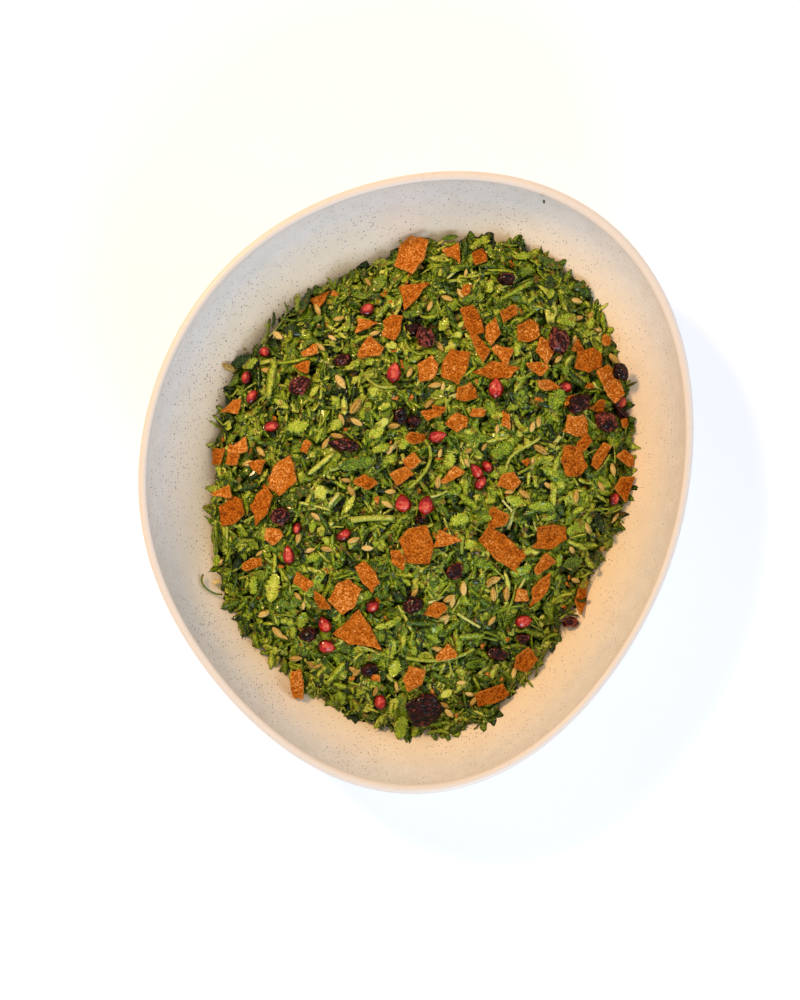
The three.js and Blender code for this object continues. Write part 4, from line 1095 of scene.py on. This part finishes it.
CRUMBS = 90
CRUMB_SIZES = ((3.6, 2.4), (2.8, 2.2), (4.4, 1.8), (3.0, 3.0), (5.0, 2.6))


def sprigs(name, material, forms, count, bunches, reach, sizes, shades):
    """One piece of larger bits in bunches round the heap's edge, which hang over it onto the bowl's wall."""
    middles = random.uniform(0, math.tau, bunches)
    angle = middles[random.integers(0, bunches, count)] + random.normal(0, 0.035, count)
    radius = HEAP_RADIUS * outline(HEAP_WAVES, angle) * random.uniform(*reach, count)
    x, y = radius * np.cos(angle), radius * np.sin(angle)
    frames = slope_frames(x, y)
    spin = random.uniform(0, math.tau, (count, 1))
    first = np.cos(spin) * frames[:, 0] + np.sin(spin) * frames[:, 1]
    frames = leaned(frames_of(frames[:, 2], first), 26)
    place = np.stack([x, y, ground(x, y) + random.uniform(0.4, 2.6, count)], axis=1)
    strewn(name, material, forms, place, frames, sizes, shades)


# The deep leaves get a very dark shade: painted shade down among the leaves
scattered("deep_parsley_leaves", leaf, BROAD, 1400, (0.9, 1.3), (-4.4, -2.0), 24, (0.08, 0.08))
scattered("broad_parsley_leaves", leaf, BROAD, 1000, (0.75, 1.2), (-1.0, 1.2), 10, (0.46, 0.2), (14, 31, 0.6))
scattered("parsley_leaves", leaf, LEAVES, 1250, (0.85, 1.35), (-0.8, 1.4), 13, (0.48, 0.21))
scattered("parsley_shreds", leaf, SHREDS, 850, (0.75, 1.3), (-0.4, 1.5), 13, (0.5, 0.21))
scattered("parsley_frills", curled_leaf, FRILLS, 750, (0.7, 1.2), (-0.4, 1.2), 26, (0.5, 0.19), (9, 33, 1.6))
scattered("parsley_stalks", stalk, STALKS, 300, (0.6, 1.2), (-0.6, 1.4), 14, (0.45, 0.2))
scattered("spring_onion_bits", stalk, ONIONS, 100, (0.6, 1.1), (-0.2, 1.2), 18, (0.55, 0.16))
sprigs("edge_parsley_leaves", leaf, LEAVES, 330, 50, (0.95, 1.025), (0.7, 1.1), (0.42, 0.2))
place, frames = heap_places(CRUMBS)
place = place + frames[:, 2] * random.uniform(0.2, 1.8, (CRUMBS, 1))
crumbs = [chip(*size, 1.3, 4) for size in CRUMB_SIZES]
crumbs = [(points, triangles, {"edge": rim}) for points, triangles, rim in crumbs]
strewn("flatbread_crumbs", CRISP, crumbs, place, leaned(frames, 25), (0.7, 1.2),
       (0.06, 0.12), "flatbread_crisp")


# ---- floor, light and camera

LIT_POINT = (0, 0, 0.04)


def studio_floor():
    """A wide level floor under the bowl."""
    bm = bmesh.new()
    bmesh.ops.create_grid(bm, x_segments=1, y_segments=1, size=4)
    floor = object_of(bm, "floor")
    floor.data.materials.append(matte_floor())


def soft_light(name, place, size, power, colour):
    """A square soft box that points at the salad."""
    light = bpy.data.lights.new(name, "AREA")
    light.size = size
    light.energy = power
    light.color = linear(colour)[:3]
    lamp = placed(name, light)
    lamp.location = place
    lamp.rotation_euler = (Vector(LIT_POINT) - Vector(place)).to_track_quat("-Z", "Y").to_euler()


def studio_world(colour, strength):
    """Even pale light from all round."""
    world = bpy.data.worlds.new("studio")
    world.use_nodes = True
    feed(world.node_tree.nodes["Background"], {"Color": linear(colour), "Strength": strength})
    bpy.context.scene.world = world


def photo_camera():
    """A camera straight above, so that a pixel is 0.55 mm at the height of the rim."""
    lens = bpy.data.cameras.new("photo_camera")
    lens.sensor_fit = "VERTICAL"
    lens.sensor_height = 24
    lens.lens = 24 * VIEW_DISTANCE / (1000 * VIEW_PIXEL)
    camera = placed("photo_camera", lens)
    camera.location = Vector(np.array([*VIEW_POINT, BOWL_HEIGHT + VIEW_DISTANCE]) + AXIS) * MM
    bpy.context.scene.camera = camera


studio_floor()
soft_light("warm_key", (-0.66, 0.62, 0.98), 0.2, 11.5, "#FFD296")
soft_light("cool_fill", (0.3, -1.1, 0.62), 0.5, 8, "#CDE4FF")
soft_light("side_fill", (1.15, 0.2, 0.5), 0.5, 3, "#CDE4FF")
studio_world("#FFF8F3", 0.58)
photo_camera()
bpy.context.scene.view_settings.view_transform = "Standard"
